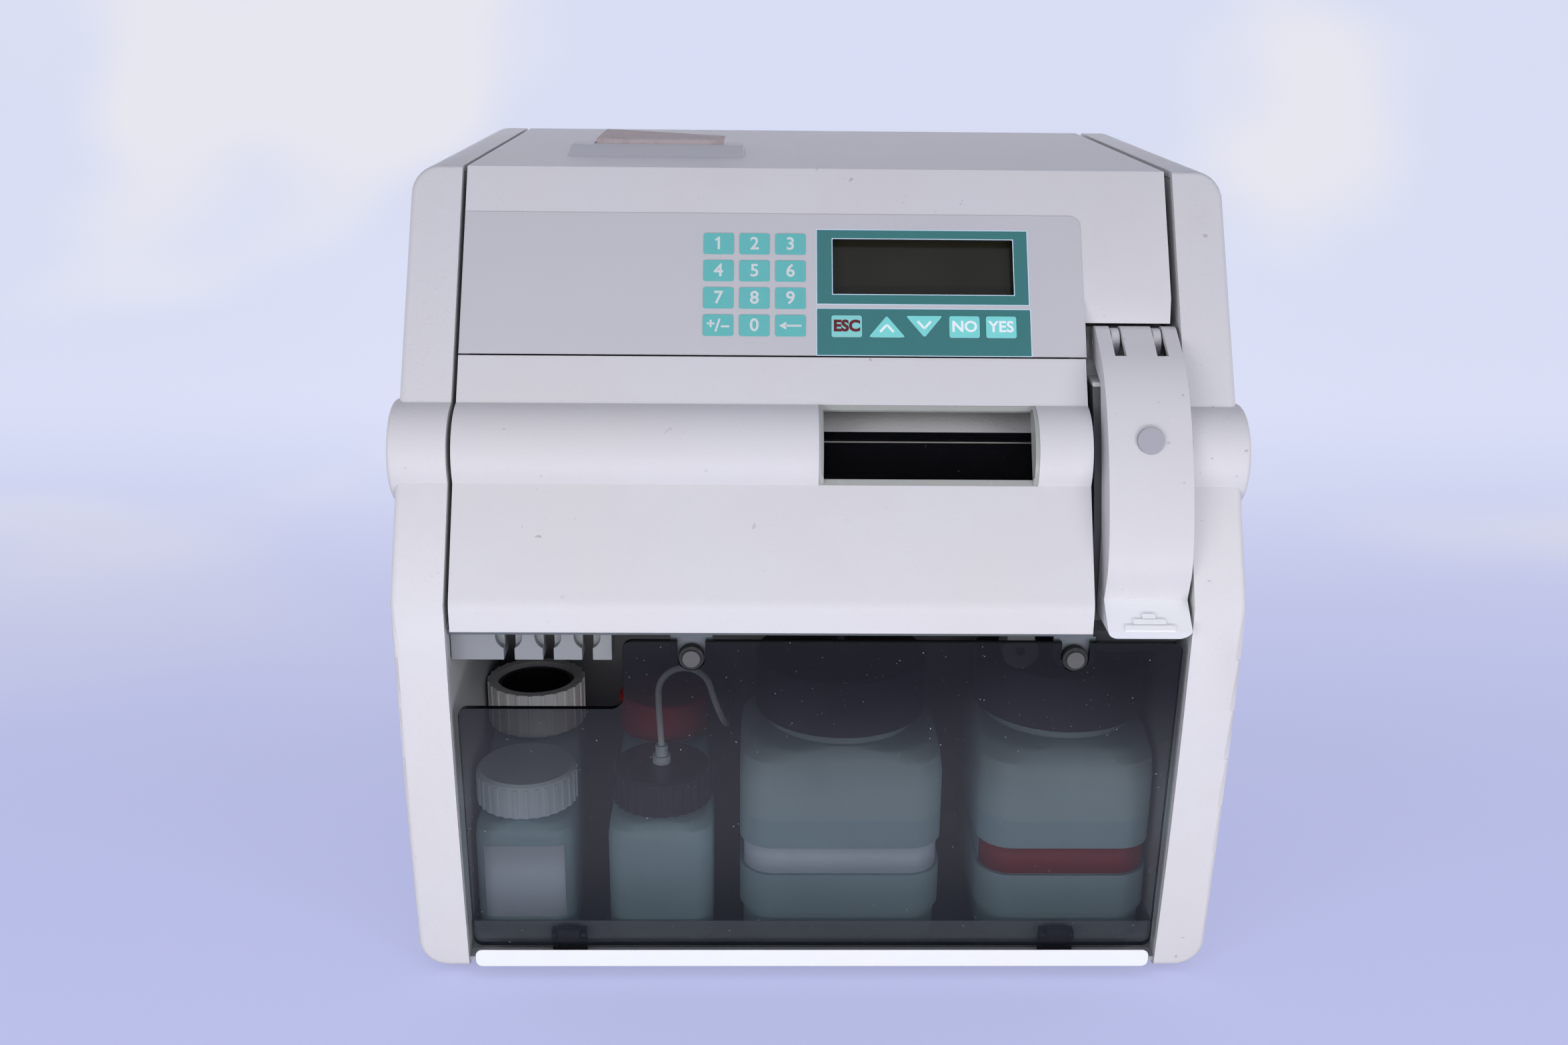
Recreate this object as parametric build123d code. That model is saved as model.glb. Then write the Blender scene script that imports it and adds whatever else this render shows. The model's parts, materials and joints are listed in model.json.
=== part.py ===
from build123d import *

import os
from math import atan2, cos, hypot, radians, sin, tan

# Bench-top blood gas analyser.
#
# A low cabinet of moulded covers between two thick side panels. The sloping fascia carries a
# membrane keypad and a four-line display. A lift-up cover with a drum-shaped bulge hides the
# measuring chamber and the roller pump. A narrow flap covers the sample port, and a smoked
# acrylic door closes the bottle bay underneath. Paper leaves a small printer in the top.
#
# All pieces are drawn in the cabinet's own frame: X to the right, Y away from the user, Z up,
# with Y = 0 along the front edge of the top and Z = 0 on the underside of the side panels.
# save() moves each finished piece to the part's frame, whose origin is the middle of the
# footprint at table height. Lengths are millimetres and angles are degrees. A side view is
# drawn as (y, z), a front view as (x, z) and a plan as (x, y).

os.makedirs("parts", exist_ok=True)

# ---------------------------------------------------------------- cabinet
case_width = 360.0
case_height = 352.0
case_rear = 212.0  # front top edge to the rear faces of the side panels
panel_width = 22.4  # one side panel, from its outer face to its inner rim
wall = 3.0  # moulded covers and panels
top_corner_r = 12.0
bottom_corner_r = 13.0
edge_r = 3.0
screw_boss_r = 5.0
screw_hole_r = 2.0
foot_height = 3.0
foot_r = 10.0
foot_inset = 50.0  # from the sides
foot_front = 31.0  # behind the front of the pan
foot_rear = 27.0  # from the rear
seam = 2.1  # gap between a moulded cover and the left side panel
fit = 0.3  # loose fit between pieces of one assembly
pin_fit = 0.05  # radial clearance of a pin in its bore

# front of the cabinet, from the top edge down
fascia_tilt = 31.4  # from vertical
fascia_length = 109.6  # top edge to the upper crease of the drum
vertex_y = -99.5  # foremost ridge of the front
vertex_drop = 170.0  # of that ridge below the top
skirt_tilt = 28.3
skirt_length = 52.0  # ridge up to the lower crease of the drum
drum_sink = 14.25  # drum axis behind the line that joins its two creases
boss_stand = 2.8  # drum end discs proud of the side panels
disc_edge_r = 2.2
belly = 2.0  # bulge of the lower front past the straight line from ridge to heel
heel_setback = 9.9  # of the heel behind the ridge
heel_z = 16.0  # where the bulge runs out straight to the underside

# sheet-metal chassis
plate = 1.5
pan_z = 2.0
pan_thickness = 2.0
pan_setback = 3.6  # behind the heel
bulkhead_y = 28.0  # front face of the wall behind the bottles
deck_drop = 15.5  # underside of the deck below the front ridge
deck_thickness = 2.5
deck_setback = 6.2  # behind the ridge
rear_plate = 2.0
vent_rows = 9
vent_drop = 32.0  # top row below the top
vent_inset = 87.6  # middle of a column from the side panel
vent_pitch = 10.0
vent_size = (90.0, 3.6)

# right end of the front, from the inner face of the right panel leftwards
block_gap = 3.6  # fascia block to the panel
flap_gap = 1.6  # sample flap to the panel
flap_width = 35.5
block_overhang = 4.7  # fascia block to the left of the flap
cover_gap = 0.4  # front cover to the line of the block's left side
block_turn_s = 60.3  # where the fascia block turns down, measured down the slope
block_foot = (-33.2, 62.0)  # y of its lower edge, and drop below the top

# keypad, placed by s, the distance down the fascia, and by insets from its right edge
overlay_gap = 0.5
overlay_top = 22.0
split_s = 87.5  # lower edge of the top cover
split_gap = 0.7
split_undercut = 2.0
overlay_corner_r = 5.0
overlay_thickness = 0.5
key_rise = 0.3
key_width = 13.2
key_height = 9.9
key_pitch_x = 15.7
key_pitch_s = 12.6
key_inset = 165.9
key_top = 31.4
key_r = 1.0
function_insets = (103.5, 52.35, 36.35)  # centres of the three square keys
arrow_insets = (86.1, 69.8)
arrow_width = 16.0
function_s = 74.2

# display: the visible field of a standard module with four lines of twenty characters
window_inset = 29.9
window_width = 79.9
window_height = 26.4
window_top = 33.2
window_r = 1.5
window_margin = 3.0  # of the hole in the cover round the window
display_frame_size = (97.0, 40.0)
display_frame_depth = 9.0
display_frame_wall = 0.8
display_board_size = (98.0, 60.0)
board_thickness = 1.6
post_inset = 3.5
post_r = 3.0

# lift-up front cover
cover_ridge_r = 12.0
cover_foot_drop = 12.0  # lower edge below the ridge
cover_rim = 12.0  # reach of the end walls behind the skin
cover_rim_wall = 2.5
hinge_inset_s = 12.0  # hinge axis below the cover's top edge
hinge_depth = 6.0  # and behind its outer face
knuckle_r = 3.4
knuckle_width = 8.0
knuckle_insets = (30.5, 6.4)  # from the cover's left and right ends
pin_r = 1.5
arm_width = 4.0
arm_drop = 16.0  # run of an arm straight in behind the hinge
hinge_clearance = 0.4
pane = 2.2  # drum window
pane_inset = 22.7  # from the cover's right end
pane_width = 93.4

# sample flap
flap_wall = 2.5
flap_hinge_y = -34.0
flap_hinge_drop = 70.4  # below the top
flap_nose_r = 7.2
crown_reach = 20.8  # foremost point of the crown in front of the hinge
crown_share = 0.96
flap_lead = 31.0  # from vertical, where the crown leaves the nose
flap_front_shape = ((23.5, 0.714), (8.0, 0.372), (3.9, 0.13), (6.9, 0.012))
flap_back_shape = ((21.5, 0.261), (29.5, 0.507), (44.5, 0.864))
flap_lip_shape = ((-5.5, -8.6), (-2.9, -12.7), (15.5, -12.7), (19.5, -4.0))
lip_corner_r = 5.0
grip_size = (2.2, 0.9)  # height and stand of a grip bar
grip_rises = ((10.5, 1.6), (6.8, 4.6), (2.7, 7.2))  # half-width and place of each grip bar
ear_step = 0.8  # of the fixed ears below the flap's nose
ear_width = 3.8
ear_gap = 0.6
ear_offset = 9.1  # of each ear from the flap's middle
slot_reach = 18.0  # of the ear slots in front of the hinge
lens_share = 0.13
lens_r = 5.7
lens_rise = 2.0  # over the straight line between the curve's points
port_insets = (-2.5, 1.5)  # housing's sides against the flap's
port_behind = 3.5  # housing's front behind the flap's back edge
port_bore_r = 6.0
port_bore_depth = 14.0
port_tip_r = 4.4
port_tip = 2.2
port_throat_r = 0.9
port_rise = 4.4  # top of the housing above the hinge
port_chin = 4.5  # upper end of its front face before the hinge
port_column = (14.0, 38.0)  # front and back of its column, behind the hinge
port_levels = (31.0, 7.0, 12.6)  # step, shelf above the deck's top and foot below it
scoop_setbacks = (13.5, 47.5)  # of the foot behind the ridge
scoop_r = 6.0
web_reach = (22.0, 18.5)  # of an ear's web behind and below the hinge

# smoked door of the bottle bay
door_gap = 2.6  # to the side panels
door_thickness = 3.0
door_foot_setback = 1.2  # of the outer face behind the heel
door_foot_rise = 9.3  # above the base
door_head_setback = 2.3  # behind the ridge
door_head_drop = 5.0  # below the front cover's lower edge
door_corner_r = 4.0
notch_drop = 33.5  # floor of the corner cut-out below the deck
notch_width = 71.5
notch_r = 6.0
catch_insets = (103.3, 48.5)  # from the inner faces of the panels
catch_drop = 8.9  # below the deck
catch_slot_r = 5.9
catch_r = 5.4
catch_head_r = 3.8
catch_reach = 4.2  # bush in front of its tab
catch_head = 1.2
tab_width = 18.0
tab_thickness = 2.0
door_pivot_depth = 5.3  # behind the outer face
door_pivot_rise = 2.2  # above the lower edge
door_hinge_insets = (45.5, 45.0)
door_block_width = 10.3
door_block_size = (5.8, 4.6)  # height and depth
door_pin_r = 1.2
bracket_ear = 2.5
bracket_web = (1.6, 4.0)  # its back, behind the pin

# white lip along the foot
lip_gap = 3.6
lip_thickness = 2.4
lip_height = 8.5
lip_r = 3.0
lip_bevel = 2.0
lip_ledge_gap = 4.0
lip_ledge = (3.6, 2.0)  # reach behind the door's foot, and thickness

# bottle bay
tray_setback = 9.6  # behind the door's foot
tray_wall = 1.0
tray_height = 14.0
bottle_gap = 0.8  # from the tray's front wall
small_neck_r = 19.0
large_neck_r = 37.0
reference_size = (45.0, 45.0)
cleaner_size = (48.0, 48.0)
wash_size = (93.0, 80.0)
waste_size = (80.0, 93.0)
rear_left_size = (44.0, 44.0)
rear_right_size = (43.0, 43.0)
side_gaps = (2.5, 1.6)  # outer bottles to the side panels
gap_shares = (0.35, 0.275, 0.375)  # of the room left between the four front bottles
small_shoulder = 58.0
small_neck_rise = 12.0
rear_left_shoulder = 72.0
rear_left_rise = 16.0
rear_right_shoulder = 68.0
rear_right_rise = 16.0
rear_rows = (69.4, 71.8)  # rear bottles behind the front of the row
rear_shift = 0.85  # and to the left of the bottles before them
small_cap_height = 16.5
rear_cap_height = 18.0
large_headroom = 29.5  # large caps below the deck
large_cap_height = 27.0
large_shoulder_height = 22.0
waist_drop = 33.0  # top of the waist below the shoulder
waist_height = 14.0
waist_depth = 1.8
foot_band = 16.0
small_corner_r = 9.5
large_corner_r = 16.0
bottle_foot_r = 2.5
shoulder_shape = ((0.0, 0.0), (0.4, 0.12), (0.66, 0.5), (0.78, 1.0))  # rise and inset
neck_step = 2.0
neck_stub = 4.0
cap_overhang = 4.2  # of a small cap round its neck
rear_cap_overhang = 3.0
large_cap_overhang = 2.5
cap_top = 2.5
cap_edge = 1.2
rib_depth = 0.6
rib_width = 1.8
cap_ribs = 30
ring_ribs = 24
ring_r = 23.5
ring_bore_r = 18.5
ring_height = 21.5
insert_height = 15.0
insert_drop = 2.5
insert_wall = 2.0
spigot = ((4.2, 4.0), (2.9, 5.0))  # radius and height of its flange and its neck

# tube comb and hose coupling under the deck
comb_width = 68.7
comb_front_setback = 9.5  # behind the ridge
comb_depth = 13.0
comb_height = 13.0
comb_first = 25.2
comb_pitch = 16.7
comb_slot = 4.5
comb_slots = 3
comb_pocket_r = 5.6
comb_pocket_depth = 4.0
comb_roof = 2.4
coupling_inset = 22.3  # to the left of the right catch
coupling_r = 7.9
coupling_bore_r = 1.9
coupling_drop = 8.4
coupling_length = 12.0

# hose of the cleaner bottle
tube_r = 1.5
gland_length = 3.0
gland_r = 4.5
hose_bends = (
    (-0.3, 0.0, 11.5),
    (1.3, 0.0, 24.5),
    (7.8, 1.0, 35.5),
    (17.8, 3.0, 38.5),
    (26.8, 6.5, 32.0),
    (29.8, 12.5, 19.0),
    (30.8, 24.0, 5.5),
    (31.1, 40.0, -6.0),
    (30.3, 59.0, -12.5),
)  # from the cap's spigot
hose_end = (30.3, -12.5)  # x and z

# measuring chamber behind the drum window
chamber_insets = (11.3, 5.3)  # past the window's two ends
chamber_front = -55.0
chamber_stand = 27.0  # above the deck
chamber_rise = 5.0  # top above the drum's axis
chamber_glass = 3.0
chamber_mouth = (8.0, 6.0)  # sill and lintel of its mouth
chamber_cheek = 5.0
chamber_depth = 20.0
hood_size = (16.0, 59.0)  # height and depth
hood_lip = 1.5
hood_slope = 31.0
electrode_count = 4
electrode_pitch = 24.4
electrode_first = 18.5
electrode_r = 8.0
collar_r = 9.5
tip_r = 4.0
electrode_tip = 6.0

# roller pump
pump_inset = 45.6  # of its axis from the left panel
pump_drop = 14.0  # below the drum's axis
pump_front = -34.0
pump_depth = 22.0
pump_half = 26.0
pump_corner_r = 4.0
pump_back = 4.0
pump_orbit = 10.0
pump_roller_r = 4.5
race_gap = 5.2
motor_r = 18.0
shaft_r = 3.0
rotor_r = 14.5
rotor_disc = 2.0
roller_count = 3
rotor_hub_r = 5.0
roller_pin_r = 1.5

# pinch valves
valve_count = 3
valve_pitch = 20.0
valve_first = -66.0
valve_y = -30.0
valve_r = 8.0
valve_height = 30.0
valve_head = (14.0, 16.0, 12.0)
valve_nip = (3.2, 6.0)

# printer in the top
lid_inset = 38.4  # from the left end of the top cover
lid_width = 83.3
lid_front = 49.0
lid_rear = 88.0
lid_rise = 3.8
lid_ridge = 68.0  # y where the lid's slope ends
slot_insets = (10.5, 8.4)
slot_front = 73.0
bay_margin = 1.5
bay_front = 4.0  # of the opening behind the lid's front edge
lid_plug = 7.5  # of the plug under the lid behind the opening's front
paper_gap = 1.2  # from the slot's front edge
paper_thickness = 0.3
paper_side = 1.2
paper_rise = 6.0
paper_fold_r = 3.0
paper_ends = (134.0, 102.0)  # y of the torn end at its left and right corners
paper_tail_z = 1.4
platen_r = 6.0
platen_drop = 16.0
platen_clear = 0.45
head_size = (8.0, 18.0)
head_gap = 0.8  # print head to the platen
spindle_r = 2.0
roll_r = 17.0
roll_core_r = 4.0
roll_y = 66.0
roll_drop = 45.0
printer_y = (46.0, 108.0)
printer_drops = (8.0, 66.0)
cheek = 2.0
cheek_gap = 3.5

# rear connections
inlet_inset = 45.6  # from the right panel
inlet_z = 40.0
switch_offset = 23.0
inlet_height = 25.0
inlet_depth = 24.0
module_reach = (7.5, 14.5)  # past the middles of the switch and the socket
flange_size = (58.0, 29.0)
flange_thickness = 2.5
flange_r = 3.0
socket_size = (24.0, 16.0)
socket_cut = 4.5
socket_depth = 16.0
blade_spots = ((-7.0, -2.0), (0.0, 2.0), (7.0, -2.0))
blade_size = (2.0, 4.0)
rocker_width = 8.6
rocker_sink = 3.5
rocker_half = 7.2
rocker_gap = (0.5, 0.8)  # to its well, sideways and up
rocker_root = 3.0  # depths in front of its axis and behind it
rocker_edge = 2.0
rocker_valley = 4.6
rocker_tip = 6.6
rocker_slant = 0.6
gas_insets = (37.6, 62.6)  # from the left panel
gas_z = 60.0
gas_bore_r = 1.1
gas_hex_r = 6.5
gas_flange = 3.0
gas_shank_r = 3.9
gas_neck_r = 2.2
gas_barb_r = 3.1
gas_barb = 2.5
gas_barbs = 3
gas_barb_pitch = 3.5
gas_fit = 0.1
nipple_reach = 12.0

# electronics
mainboard_inset = 47.6
mainboard_z = (90.0, 54.0)  # lower edge, and upper edge below the top
mainboard_stand = 8.0
pillar_inset = 20.0
board_parts = (
    (-0.55, 0.76, 50.0, 20.0, 5.0),
    (0.09, 0.71, 34.0, 34.0, 4.0),
    (0.64, 0.76, 40.0, 16.0, 6.0),
    (-0.45, 0.34, 60.0, 24.0, 5.0),
    (0.45, 0.29, 70.0, 30.0, 8.0),
)  # place as shares of the board, width, height and thickness
supply_size = (110.0, 110.0, 55.0)
supply_inset = 17.6
supply_rear = 29.0

# ---------------------------------------------------------------- derived places
half_width = case_width / 2
inner_x = half_width - panel_width
cover_left = -(inner_x - seam)
rear_in = case_rear - wall
tilt = radians(fascia_tilt)
skirt = radians(skirt_tilt)

block_right = inner_x - block_gap
flap_right = inner_x - flap_gap
flap_left = flap_right - flap_width
flap_mid = (flap_left + flap_right) / 2
block_left = flap_left - block_overhang
cover_right = block_left - cover_gap
overlay_right = block_left - overlay_gap


def slope(s, depth=0.0):
    """Point (y, z) at distance s down the fascia and depth behind its surface."""
    return (
        -s * sin(tilt) + depth * cos(tilt),
        case_height - s * cos(tilt) - depth * sin(tilt),
    )


def between(a, b, share):
    """Point that lies a share of the way from a to b."""
    return (a[0] + share * (b[0] - a[0]), a[1] + share * (b[1] - a[1]))


crease_up = slope(fascia_length)
ridge = (vertex_y, case_height - vertex_drop)
crease_low = (ridge[0] + skirt_length * sin(skirt), ridge[1] + skirt_length * cos(skirt))
chord_length = hypot(crease_low[0] - crease_up[0], crease_low[1] - crease_up[1])
chord_dir = (
    (crease_low[0] - crease_up[0]) / chord_length,
    (crease_low[1] - crease_up[1]) / chord_length,
)
chord_in = (-chord_dir[1], chord_dir[0])  # unit normal that points into the cabinet
chord_mid = between(crease_up, crease_low, 0.5)
drum_r = hypot(chord_length / 2, drum_sink)
drum_centre = (chord_mid[0] + drum_sink * chord_in[0], chord_mid[1] + drum_sink * chord_in[1])
drum_nose = (drum_centre[0] - drum_r * chord_in[0], drum_centre[1] - drum_r * chord_in[1])
heel = (vertex_y + heel_setback, heel_z)

base_z = pan_z + pan_thickness
pan_front = heel[0] + pan_setback
deck_z = ridge[1] - deck_drop
deck_top = deck_z + deck_thickness
deck_front = vertex_y + deck_setback
cover_foot_z = ridge[1] - cover_foot_drop
cover_top_s = split_s + split_gap
cover_hinge = slope(cover_top_s + hinge_inset_s, hinge_depth)

window_right = overlay_right - window_inset
window_left = window_right - window_width
window_bottom = window_top + window_height
display_mid = ((window_left + window_right) / 2, (window_top + window_bottom) / 2)
display_seat = wall + fit  # depth of the display frame's front
display_back = display_seat + display_frame_depth

pane_right = cover_right - pane_inset
pane_left = pane_right - pane_width
knuckle_x = (cover_left + knuckle_insets[0], cover_right - knuckle_insets[1])

door_foot = (heel[0] + door_foot_setback, pan_z + door_foot_rise)
door_head = (vertex_y + door_head_setback, cover_foot_z - door_head_drop)
door_half_width = inner_x - door_gap
door_tilt = atan2(door_foot[0] - door_head[0], door_head[1] - door_foot[1])
door_height = hypot(door_foot[0] - door_head[0], door_head[1] - door_foot[1])
notch_right = -door_half_width + notch_width
catch_x = (catch_insets[0] - inner_x, inner_x - catch_insets[1])
catch_z = deck_z - catch_drop
door_hinge_x = (door_hinge_insets[0] - inner_x, inner_x - door_hinge_insets[1])

front_reach = vertex_y + flap_lip_shape[0][0]
origin_y = (front_reach + case_rear + nipple_reach) / 2


def door_point(rise, depth=0.0):
    """Point (y, z) at height rise up the door and depth behind its outer face."""
    return (
        door_foot[0] - rise * sin(door_tilt) + depth * cos(door_tilt),
        door_foot[1] + rise * cos(door_tilt) + depth * sin(door_tilt),
    )


door_pivot = door_point(door_pivot_rise, door_pivot_depth)


# ---------------------------------------------------------------- drawing helpers
def block(x0, x1, y0, y1, z0, z1):
    """Box between two corners."""
    return Pos((x0 + x1) / 2, (y0 + y1) / 2, (z0 + z1) / 2) * Box(x1 - x0, y1 - y0, z1 - z0)


def along_x(face, x0, x1):
    """Side view pushed from x0 to x1."""
    return extrude(Plane.YZ.offset(x0) * face, amount=x1 - x0)


def along_y(face, y0, y1):
    """Front view pushed from y0 to y1."""
    return extrude(Plane.XZ.offset(-y1) * face, amount=y1 - y0)


def along_z(face, z0, z1):
    """Plan pushed from z0 to z1."""
    return extrude(Plane.XY.offset(z0) * face, amount=z1 - z0)


def polygon(*points):
    return make_face(Polyline(*points, close=True))


def rod_x(centre, r, x0, x1):
    """Round bar along X through centre (y, z)."""
    return along_x(Pos(*centre) * Circle(r), x0, x1)


def rod_y(centre, r, y0, y1):
    """Round bar along Y through centre (x, z)."""
    return along_y(Pos(*centre) * Circle(r), y0, y1)


def rod_z(centre, r, z0, z1):
    """Round bar along Z through centre (x, y)."""
    return along_z(Pos(*centre) * Circle(r), z0, z1)


fascia_plane = Plane(origin=(0, 0, case_height), x_dir=(1, 0, 0), z_dir=(0, -cos(tilt), sin(tilt)))


def on_fascia(face, depth, thickness):
    """Profile drawn as (x, -s), pushed inwards from depth by thickness."""
    return extrude(fascia_plane.offset(-depth) * face, amount=-thickness)


def fascia_rect(x0, x1, s0, s1, r=0.0):
    width, height = x1 - x0, s1 - s0
    shape = RectangleRounded(width, height, r) if r else Rectangle(width, height)
    return Pos((x0 + x1) / 2, -(s0 + s1) / 2) * shape


def inset_path(points, depth):
    """Points moved sideways by depth, to the left of the way they run, with mitred corners."""
    moved = []
    for i, point in enumerate(points):
        before = points[max(i - 1, 0)]
        after = points[min(i + 1, len(points) - 1)]
        normals = []
        for start, end in ((before, point), (point, after)):
            run = hypot(end[0] - start[0], end[1] - start[1])
            if run > 0:
                normals.append(((start[1] - end[1]) / run, (end[0] - start[0]) / run))
        ny = sum(n[0] for n in normals) / len(normals)
        nz = sum(n[1] for n in normals) / len(normals)
        stretch = depth / (ny * ny + nz * nz)
        moved.append((point[0] + ny * stretch, point[1] + nz * stretch))
    return moved


def strip(points, thickness):
    """Sheet of constant thickness that follows points and lies on their left."""
    return polygon(*points, *reversed(inset_path(points, thickness)))


def save(name, *solids):
    """Writes one node, moved to the part's own frame."""
    move = Pos(0, -origin_y, foot_height)
    shape = Compound(children=[move * s for item in solids for s in item.solids()])
    export_step(shape, f"parts/{name}.step")


# ---------------------------------------------------------------- cabinet outline
def lower_front():
    """Bulging edge below the front ridge, its straight end and the underside."""
    run = (heel[0] - ridge[0], heel[1] - ridge[1])
    length = hypot(*run)
    middle = between(ridge, heel, 0.5)
    swell = (middle[0] + belly * run[1] / length, middle[1] - belly * run[0] / length)
    bow = ThreePointArc(ridge, swell, heel)
    end = bow % 1
    toe = (heel[0] - heel[1] * end.X / end.Y, 0)
    return [bow, Line(heel, toe), Line(toe, (case_rear, 0))]


def side_outline():
    """Outline of the cabinet seen from the side."""
    back = Polyline((case_rear, 0), (case_rear, case_height), (0, case_height), crease_up)
    drum = ThreePointArc(crease_up, drum_nose, crease_low)
    return make_face([*back.edges(), drum, Line(crease_low, ridge), *lower_front()])


def panel_outline():
    """Side outline without the drum."""
    corner = (case_rear, case_height)
    front = Polyline((case_rear, 0), corner, (0, case_height), crease_up, crease_low, ridge)
    return make_face([*front.edges(), *lower_front()])


def front_envelope(inset=0.0):
    """Whole cabinet seen from the front, with its long edges rounded."""
    face = Pos(0, case_height / 2) * Rectangle(case_width - 2 * inset, case_height - 2 * inset)
    face = fillet(face.vertices().group_by(Axis.Y)[-1], top_corner_r - inset)
    face = fillet(face.vertices().group_by(Axis.Y)[0], bottom_corner_r - inset)
    return along_y(face, front_reach, case_rear)


outline = side_outline()
outline_in = offset(outline, amount=-wall)
screw_inset = 22.0
screw_spots = (
    (heel[0] + screw_inset, heel_z + screw_inset),
    (case_rear - screw_inset, screw_inset),
    (case_rear - screw_inset, case_height - screw_inset),
    (screw_inset, case_height - screw_inset),
)


def side_panel():
    """Right-hand side panel: a moulded shell, open towards the chassis."""
    outer = along_x(panel_outline(), inner_x, half_width) & front_envelope()
    outside = outer.faces().sort_by(Axis.X)[-1]
    outer = fillet(outside.edges().filter_by(Axis.Y, reverse=True), edge_r)
    disc = rod_x(drum_centre, drum_r, inner_x, half_width + boss_stand)
    outer += fillet(disc.faces().sort_by(Axis.X)[-1].edges(), disc_edge_r)
    hollow = along_x(outline_in, inner_x, half_width - wall) & front_envelope(wall)
    shell = outer - hollow
    for spot in screw_spots:
        shell += rod_x(spot, screw_boss_r, inner_x + plate, half_width - wall / 2)
    return shell


def side_plate():
    """Right-hand steel plate of the chassis, let into the open side of the panel."""
    sheet = along_x(offset(outline, amount=-(wall + hinge_clearance)), inner_x, inner_x + plate)
    for spot in screw_spots:
        sheet -= rod_x(spot, screw_hole_r, inner_x, inner_x + plate)
    return sheet


# ---------------------------------------------------------------- top cover
def keep_above_split(rear):
    """Side view of everything above the parting line between the two covers."""
    reach = 2 * cover_rim
    return polygon(
        (rear, case_height + reach),
        (slope(split_s)[0] - reach, case_height + reach),
        slope(split_s, -reach),
        slope(split_s),
        slope(split_s - split_undercut, wall),
        slope(split_s - split_undercut, 3 * cover_rim),
        (rear, slope(split_s - split_undercut, 3 * cover_rim)[1]),
    )


block_path = [
    (rear_in, case_height),
    (0, case_height),
    slope(block_turn_s),
    (block_foot[0], case_height - block_foot[1]),
]


def at_display(face, depth, thickness):
    """Profile centred on the display, pushed inwards from depth."""
    return on_fascia(Pos(display_mid[0], -display_mid[1]) * face, depth, thickness)


def printer_bay():
    """Opening in the top over the paper roll."""
    left, right = slot_x[0] - bay_margin, slot_x[1] + bay_margin
    return block(left, right, lid_front + bay_front, lid_rear, case_height - cover_rim, case_height + 1)


lid_left = cover_left + lid_inset
lid_right = lid_left + lid_width
slot_x = (lid_left + slot_insets[0], lid_right - slot_insets[1])
paper_y = slot_front + paper_gap
platen_at = (paper_y + platen_clear + platen_r, case_height - platen_drop)
roll_at = (roll_y, case_height - roll_drop)


def top_cover():
    """Moulded cover over the top and the upper fascia, with a turned-down block at its right."""
    ring = outline - outline_in
    rim = outline_in - offset(outline, amount=-cover_rim)
    rim_rear = rear_in - rear_plate - fit
    skin = along_x(ring & keep_above_split(rear_in), cover_left, block_left)
    skin += along_x(rim & keep_above_split(rim_rear), cover_left, cover_left + wall)
    skin += along_x(strip(block_path, wall), block_left, block_right)
    inner_path = [(rim_rear, case_height - wall), *inset_path(block_path, wall)[1:]]
    skin += along_x(strip(inner_path, cover_rim - wall), block_right - wall, block_right)
    field = (window_width + 2 * window_margin, window_height + 2 * window_margin)
    skin -= at_display(Rectangle(*field), -wall, 3 * wall)
    reach = (display_board_size[0] / 2 - post_inset, display_board_size[1] / 2 - post_inset)
    for spot in GridLocations(2 * reach[0], 2 * reach[1], 2, 2):
        skin += at_display(spot * Circle(post_r), wall / 2, display_back - wall / 2)
    return skin - printer_bay()


def keypad_overlay():
    """Printed membrane keypad, with its keys embossed and the display window left open."""
    left = cover_left + fit
    sheet = fascia_rect(left, overlay_right, overlay_top, split_s)
    corner = sheet.vertices().sort_by(Axis.X)[-2:].sort_by(Axis.Y)[-1]
    sheet = fillet(corner, overlay_corner_r)
    sheet -= fascia_rect(window_left, window_right, window_top, window_bottom, window_r)
    overlay = on_fascia(sheet, -overlay_thickness, overlay_thickness)
    keys = []
    for column in range(3):
        for row in range(4):
            x = overlay_right - key_inset + column * key_pitch_x
            s = key_top + row * key_pitch_s
            keys.append(fascia_rect(x, x + key_width, s, s + key_height, key_r))
    for inset in function_insets:
        centre = Pos(overlay_right - inset, -function_s)
        keys.append(centre * RectangleRounded(key_width, key_height, key_r))
    for inset, way in zip(arrow_insets, (1, -1)):
        top, half = way * key_height / 2, arrow_width / 2
        arrow = polygon((-half, -top), (half, -top), (0, top))
        keys.append(Pos(overlay_right - inset, -function_s) * fillet(arrow.vertices(), key_r))
    for key in keys:
        overlay += on_fascia(key, -overlay_thickness - key_rise, key_rise)
    return overlay


def display_module():
    """Pressed metal frame that clamps the display glass, and the board behind it."""
    width, height = display_frame_size
    frame = at_display(Rectangle(width, height), display_seat, display_frame_depth)
    inside = Rectangle(width - 2 * display_frame_wall, height - 2 * display_frame_wall)
    frame -= at_display(inside, display_seat + display_frame_wall, display_frame_depth)
    opening = Rectangle(window_width + 2, window_height + 2)
    frame -= at_display(opening, 0, display_back - display_frame_wall)
    return frame + at_display(Rectangle(*display_board_size), display_back, board_thickness)


def display_glass():
    margin = 4 * display_frame_wall
    glass = Rectangle(display_frame_size[0] - margin, display_frame_size[1] - margin)
    front = display_seat + display_frame_wall
    return at_display(glass, front, display_back - front)


# ---------------------------------------------------------------- front cover
def cover_outline():
    """Cabinet outline with the front ridge softened, as the cover has it."""
    face = side_outline()
    corner = face.vertices().sort_by_distance((*ridge, 0))[0]
    return fillet(corner, cover_ridge_r)


def chord_box(x0, x1, outwards, inwards):
    """Block over the drum's chord, from one crease to the other."""
    corners = [
        (end[0] + depth * chord_in[0], end[1] + depth * chord_in[1])
        for end, depth in (
            (crease_up, -outwards),
            (crease_low, -outwards),
            (crease_low, inwards),
            (crease_up, inwards),
        )
    ]
    return along_x(polygon(*corners), x0, x1)


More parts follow.
